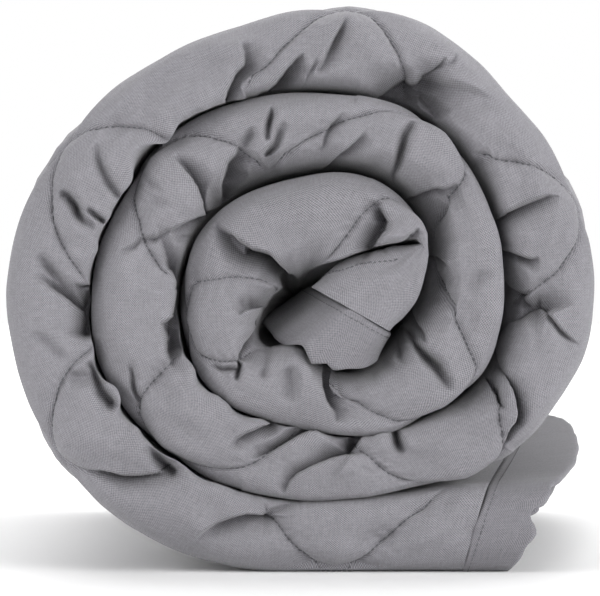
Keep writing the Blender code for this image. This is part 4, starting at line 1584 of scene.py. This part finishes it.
@dataclass
class HemBand:
    """The unfilled band sewn across one end of the quilted strip, in two plies nested round the fold.

    Edge and tip give X and Z, on the fold's outer side and on its inner side, where the band is sewn on
    and where it ends. It stands raised off the quilted cloth, start_thick where it is sewn on and end_thick
    at its tip. Its tip waves by waviness across the cloth and by in_out along it, besides its worn edge,
    and fine is its small unevenness. Each ply reads these waves from a place of its own, a shift apart.
    Tuck is how much further the inner ply's tip stands out than the outer's, as a share.
    """

    name: str
    node: str
    sizes: Sizes
    centre: float
    edge: tuple
    tip: tuple
    worn: tuple
    fill: float = 0.2
    skew: float = 0.0
    lift: float = 0.0
    start_thick: float = 7.0
    end_thick: float = 3.4
    raised: float = 0.7
    waviness: float = 0.7
    fine: float = 0.35
    in_out: float = 0.35
    wave_length: float = 70.0
    fine_length: float = 15.0
    in_out_length: float = 60.0
    growth: float = 1.5
    ply_shift: float = 31.0
    fine_ply_shift: float = 17.0
    fine_row_shift: float = 9.0
    in_out_ply_shift: float = 5.0
    seed: int = 3
    inner_depth: float = 20.0
    squareness: tuple = (2.3, 2.3)
    inner_ply: float = 0.52
    tuck: float = 0.12
    sewn_under: float = 1.6
    stitch_from_edge: float = 2.4
    stitch: float = 1.7
    stitch_gap: float = 0.8
    thread_radius: float = 0.2
    short_of_end: float = 4.0
    cloth_width: float = 20.0
    cloth_back: float = 26.0
    cloth_start: float = 0.3
    cloth_scale: float = 0.01
    tip_width: float = 22.0
    wrap: float = 18.0
    nose_steps: int = 40
    long_steps: int = 90
    face_steps: int = 16
    tip_steps: int = 7

    def fold_line(self, nest: float) -> tuple:
        """Follows the fold of a ply from the back along its outer side, round the nose and back.

        Args:
            nest: 1 for the outermost ply, less for one inside it.

        Returns:
            Across the fold from 1 outside to -1 inside, Y, and how far the outward direction turns.
        """
        s = self.sizes
        back = s.roll_length / 2 - self.short_of_end
        depth, inner_depth = s.nose_depth * nest, self.inner_depth * nest
        start = s.front + s.nose_depth * (1 - nest)
        straight = np.linspace(back, start + depth, self.long_steps, endpoint=False)
        swing = np.linspace(pi / 2, -pi / 2, self.nose_steps)
        power = np.where(swing < 0, 2 / self.squareness[0], 2 / self.squareness[1])
        across = np.sign(np.sin(swing)) * np.abs(np.sin(swing)) ** power
        nose_y = start + np.where(swing < 0, inner_depth, depth) * (1 - np.cos(swing).clip(0, 1) ** power)
        inwards = np.linspace(back, start + inner_depth, self.long_steps, endpoint=False)[::-1]
        y = np.concatenate((straight, nose_y, inwards))
        ends = np.ones_like(straight)
        return np.concatenate((ends, across, -ends)) * nest, y, np.concatenate((ends, np.sin(swing), -ends))

    def spots(self, across: np.ndarray, y: np.ndarray, out: float) -> np.ndarray:
        """Places points of the plain band.

        Args:
            across: Across the fold, from 1 outside to -1 inside.
            y: Distance along the roll.
            out: 0 where it is sewn on, 1 at its tip.

        Returns:
            X and Z of every point.
        """
        share = ((across + 1) / 2)[:, None]
        (outer_edge, inner_edge), (outer_tip, inner_tip) = np.array(self.edge), np.array(self.tip)
        sewn = inner_edge + (outer_edge - inner_edge) * share
        free = inner_tip + (outer_tip - inner_tip) * share
        placed = sewn + (free - sewn) * out
        along_roll = (y / self.sizes.roll_length + 0.5)[:, None]
        upper = 1 - share
        swung = (1 - out) * along_roll + out * along(TIP_SWING, along_roll)
        placed[:, :1] += self.skew * swung * (0.5 + 0.5 * upper)
        placed[:, 1:] += self.lift * along_roll * upper
        return placed

    def ridge(self, nest: float, out: float, up: float) -> np.ndarray:
        """Places one line of a ply along its fold, raised and wavy.

        Args:
            nest: 1 for the outermost ply, less for one inside it.
            out: 0 where the band is sewn on, 1 at its tip.
            up: How far it stands off the quilted cloth.

        Returns:
            The line's points.
        """
        across, y, _ = self.fold_line(nest)
        flat = self.spots(across, y, out)
        placed = np.stack((flat[:, 0], y, flat[:, 1]), axis=-1)
        moved = self.moved(nest)
        broad = Wave(self.wave_length, self.waviness, self.seed)
        fine = Wave(self.fine_length, self.fine, self.seed + 1)
        tip_line = Wave(self.in_out_length, self.in_out, self.seed + 2)
        sway = broad.at(moved, moved * 0 + self.ply_shift * nest) * out**self.growth
        sway += fine.at(moved, moved * 0 + self.fine_row_shift * out + self.fine_ply_shift * nest)
        in_out = tip_line.at(moved, moved * 0 + self.in_out_ply_shift * nest) * out**2
        in_out += along(np.array(self.worn), across / nest) * out**self.growth
        edge, tip = np.array(self.edge[0]), np.array(self.tip[0])
        ahead = (tip - edge) / np.hypot(*(tip - edge))
        placed[:, 0] += ahead[0] * in_out
        placed[:, 2] += ahead[1] * in_out
        return placed + self.facing(nest) * (up + sway)[:, None]

    def moved(self, nest: float) -> np.ndarray:
        """Measures the distance along a ply's fold line.

        Args:
            nest: 1 for the outermost ply, less for one inside it.

        Returns:
            The distance at each of its points.
        """
        across, y, _ = self.fold_line(nest)
        return distances(np.hypot(np.diff(y), self.wrap * np.diff(across)))

    def facing(self, nest: float) -> np.ndarray:
        """Reads the outward directions along a ply's fold line.

        Args:
            nest: 1 for the outermost ply, less for one inside it.

        Returns:
            Unit vectors.
        """
        turned = self.fold_line(nest)[2]
        outer_edge, inner_edge = np.array(self.edge)
        side = (outer_edge - inner_edge) / np.hypot(*(outer_edge - inner_edge))
        return np.stack((side[0] * turned, -np.sqrt(1 - turned**2), side[1] * turned), axis=-1)

    def rows(self, nest: float, reach: float) -> list:
        """Places the lines of one ply: over its face, round its tip and back beneath.

        Args:
            nest: 1 for the outermost ply, less for one inside it.
            reach: How much further this ply's tip stands out, as a share of the band's width.

        Returns:
            Each line's points, and its place across the cloth.
        """
        outs = np.linspace(0, 1, self.face_steps) * (1 + reach)
        rows = [(self.ridge(nest, 0.0, -self.sewn_under), -self.sewn_under)]
        for k, out in enumerate(outs):
            settled = self.raised * min(1.0, 0.5 + k)
            rows.append((self.ridge(nest, out, settled), self.cloth_width * out))
        for k in range(1, self.tip_steps):
            swing = pi * k / self.tip_steps
            out = outs[-1] + 0.5 * self.end_thick * sin(swing) / self.tip_width
            down = self.raised - self.end_thick / 2 * (1 - cos(swing))
            place = self.cloth_width * outs[-1] + self.end_thick * k / self.tip_steps
            rows.append((self.ridge(nest, out, down), place))
        for out in outs[::-2]:
            thick = self.end_thick + (self.start_thick - self.end_thick) * (1 - out / outs[-1])
            place = self.cloth_back - self.cloth_width * out
            rows.append((self.ridge(nest, out, self.raised - thick), place))
        return rows

    def ply(self, maker: MeshMaker, nest: float, reach: float) -> None:
        """Adds one ply, a closed sheet folded round the nose.

        Args:
            maker: The mesh to add to.
            nest: 1 for the outermost ply, less for one inside it.
            reach: How much further this ply's tip stands out, as a share of the band's width.
        """
        rows, moved = self.rows(nest, reach), self.moved(nest)
        base, count = len(maker.points), len(moved)
        for row, width in rows:
            placed = to_frame(row, self.centre)
            placed[:, 2] = np.maximum(placed[:, 2], 0)
            maker.points += placed.tolist()
            aside = self.cloth_scale * width + self.cloth_start
            maker.cloth += [(aside, self.cloth_scale * m) for m in moved]
        for i in range(len(rows)):
            ahead = (i + 1) % len(rows)
            for k in range(count - 1):
                a, b = base + i * count + k, base + ahead * count + k
                maker.faces.append((a, a + 1, b + 1, b))
        maker.faces.append(tuple(base + i * count for i in range(len(rows))))
        maker.faces.append(tuple(base + i * count + count - 1 for i in reversed(range(len(rows)))))

    def build(self, cotton: bpy.types.Material, thread: bpy.types.Material) -> list:
        """Builds the band and its stitches.

        Args:
            cotton: The cloth's material.
            thread: The stitches' material.

        Returns:
            The pieces.
        """
        maker = MeshMaker(self.name)
        self.ply(maker, 1.0, 0.0)
        self.ply(maker, self.inner_ply, self.tuck)
        band = maker.make(cotton)
        self.face_outwards(band)
        dress(band, node=self.node, fill=self.fill)
        width = float(np.hypot(*(np.array(self.tip[0]) - np.array(self.edge[0]))))
        sewn = self.ridge(1.0, self.stitch_from_edge / width, self.raised)
        name = self.name + "_stitches"
        sewing = Threads(name, self.centre, self.stitch, self.stitch_gap, self.thread_radius)
        row = sewing.make([(sewn, self.facing(1.0))], thread)
        dress(row)
        return [band, row]

    def face_outwards(self, band: bpy.types.Object) -> None:
        """Turns the band's faces to point out of it.

        Args:
            band: The band.
        """
        work = bmesh.new()
        work.from_mesh(band.data)
        bmesh.ops.recalc_face_normals(work, faces=work.faces)
        work.to_mesh(band.data)
        work.free()


@dataclass(frozen=True)
class Lamp:
    """A broad lamp: where it shines from, how widely in degrees, and how strongly."""

    name: str
    heading: tuple
    spread: float
    power: float

    def light(self) -> None:
        """Hangs the lamp."""
        data = bpy.data.lights.new(self.name, "SUN")
        data.angle = radians(self.spread)
        data.energy = self.power
        lamp = bpy.data.objects.new(self.name, data)
        lamp.rotation_euler = (-Vector(self.heading)).to_track_quat("-Z", "Y").to_euler()
        bpy.context.scene.collection.objects.link(lamp)


# Colours of the cloth, its binding and the thread.
QUILTED_GREY = (0.18, 0.176, 0.191)
BINDING_GREY = (0.159, 0.155, 0.169)
THREAD_GREY = (0.1, 0.1, 0.108)

LAMPS = (
    Lamp("right", (1.0, -0.6, 0.28), 76, 5.0),
    Lamp("left", (-1.0, -0.6, 0.28), 76, 3.6),
    Lamp("top", (0.0, 0.7, 1.0), 60, 2.8),
    Lamp("front", (0.25, -1.0, 0.08), 60, 0.5),
)


@dataclass
class Studio:
    """A plain pale floor, soft light and the camera."""

    sizes: Sizes
    centre: float
    distance: float = 1.5
    camera_height: float = 0.1088
    picture_width: float = 240.0
    sensor: float = 36.0
    far_clip: float = 60.0
    ambient: float = 0.03
    floor_tone: float = 0.95
    floor_roughness: float = 0.5
    floor_corners: tuple = ((-9, -4, 0), (9, -4, 0), (9, 14, 0), (-9, 14, 0))

    def floor(self) -> bpy.types.Object:
        """Lays the floor.

        Returns:
            The floor.
        """
        maker = MeshMaker("floor", list(self.floor_corners), [(0, 1, 2, 3)])
        plain = {
            "Base Color": (self.floor_tone, self.floor_tone, self.floor_tone, 1),
            "Roughness": self.floor_roughness,
        }
        return maker.make(new_material("pale_floor", plain)[0])

    def light(self) -> None:
        """Sets a white backdrop, a faint fill and the broad soft lamps."""
        world = bpy.data.worlds.new("studio")
        bpy.context.scene.world = world
        world.use_nodes = True
        tree = world.node_tree
        back = tree.nodes["Background"].inputs
        back["Color"].default_value = (1, 1, 1, 1)
        seen = add_node(tree, "LightPath", {}).outputs["Is Camera Ray"]
        strength = add_node(tree, "MapRange", {"Value": seen, "To Min": self.ambient, "To Max": 1.0})
        tree.links.new(strength.outputs["Result"], back["Strength"])
        for lamp in LAMPS:
            lamp.light()

    def camera(self) -> None:
        """Places the camera level with the roll's centre, looking along its axis."""
        data = bpy.data.cameras.new("camera")
        data.sensor_width = self.sensor
        plane = self.sizes.nose_depth * MM
        data.lens = self.sensor * (self.distance + plane) / (self.picture_width * MM)
        data.clip_end = self.far_clip
        made = bpy.data.objects.new("camera", data)
        made.location = (self.centre, self.sizes.front * MM - self.distance, self.camera_height)
        made.rotation_euler = (pi / 2, 0, 0)
        bpy.context.scene.collection.objects.link(made)
        bpy.context.scene.camera = made

    def build(self) -> None:
        """Builds the stage."""
        self.floor()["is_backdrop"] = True
        self.light()
        self.camera()
        bpy.context.scene.view_settings.view_transform = "Standard"


def box() -> list:
    """Reads the whole object's box as plain lists."""
    return [[float(v) for v in corner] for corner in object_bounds()]


def main() -> None:
    """Builds every piece in order and reports it."""
    logging.basicConfig(level=logging.INFO)
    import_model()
    cad_box = box()
    sizes = Sizes()
    centre = cad_box[0][0] + sizes.outermost * MM
    weave, handled = PlainWeave().group(), HandledCloth().group()
    cotton = CottonFinish("quilted_cotton", QUILTED_GREY).material(weave, handled)
    thread = ThreadFinish("sewing_thread", THREAD_GREY).material()
    edging = CottonFinish("binding_cotton", BINDING_GREY, pitch=250.0).material(weave, handled)
    pieces = QuiltedBody(sizes, Winding(sizes), centre).build(cotton, thread)
    loose = HemBand(
        "loose_end_band", "binding_loose_end", sizes, centre, LOOSE_EDGE, LOOSE_TIP, LOOSE_WORN,
        skew=sizes.loose_skew, lift=sizes.loose_lift, waviness=0.3, fine=0.1, in_out=0.1, tuck=-0.06,
    )
    inner = HemBand(
        "inner_end_band", "binding_inner_end", sizes, centre, INNER_EDGE, INNER_TIP, INNER_WORN,
        in_out=0.3, seed=11, inner_depth=64.0, squareness=(1.6, 3.4), tuck=-0.2,
    )
    for band in (loose, inner):
        pieces += band.build(edging, thread)
    for piece in pieces:
        log.info("%s: %d faces", piece.name, len(piece.data.polygons))
    Studio(sizes, centre).build()


if __name__ == "__main__":
    main()
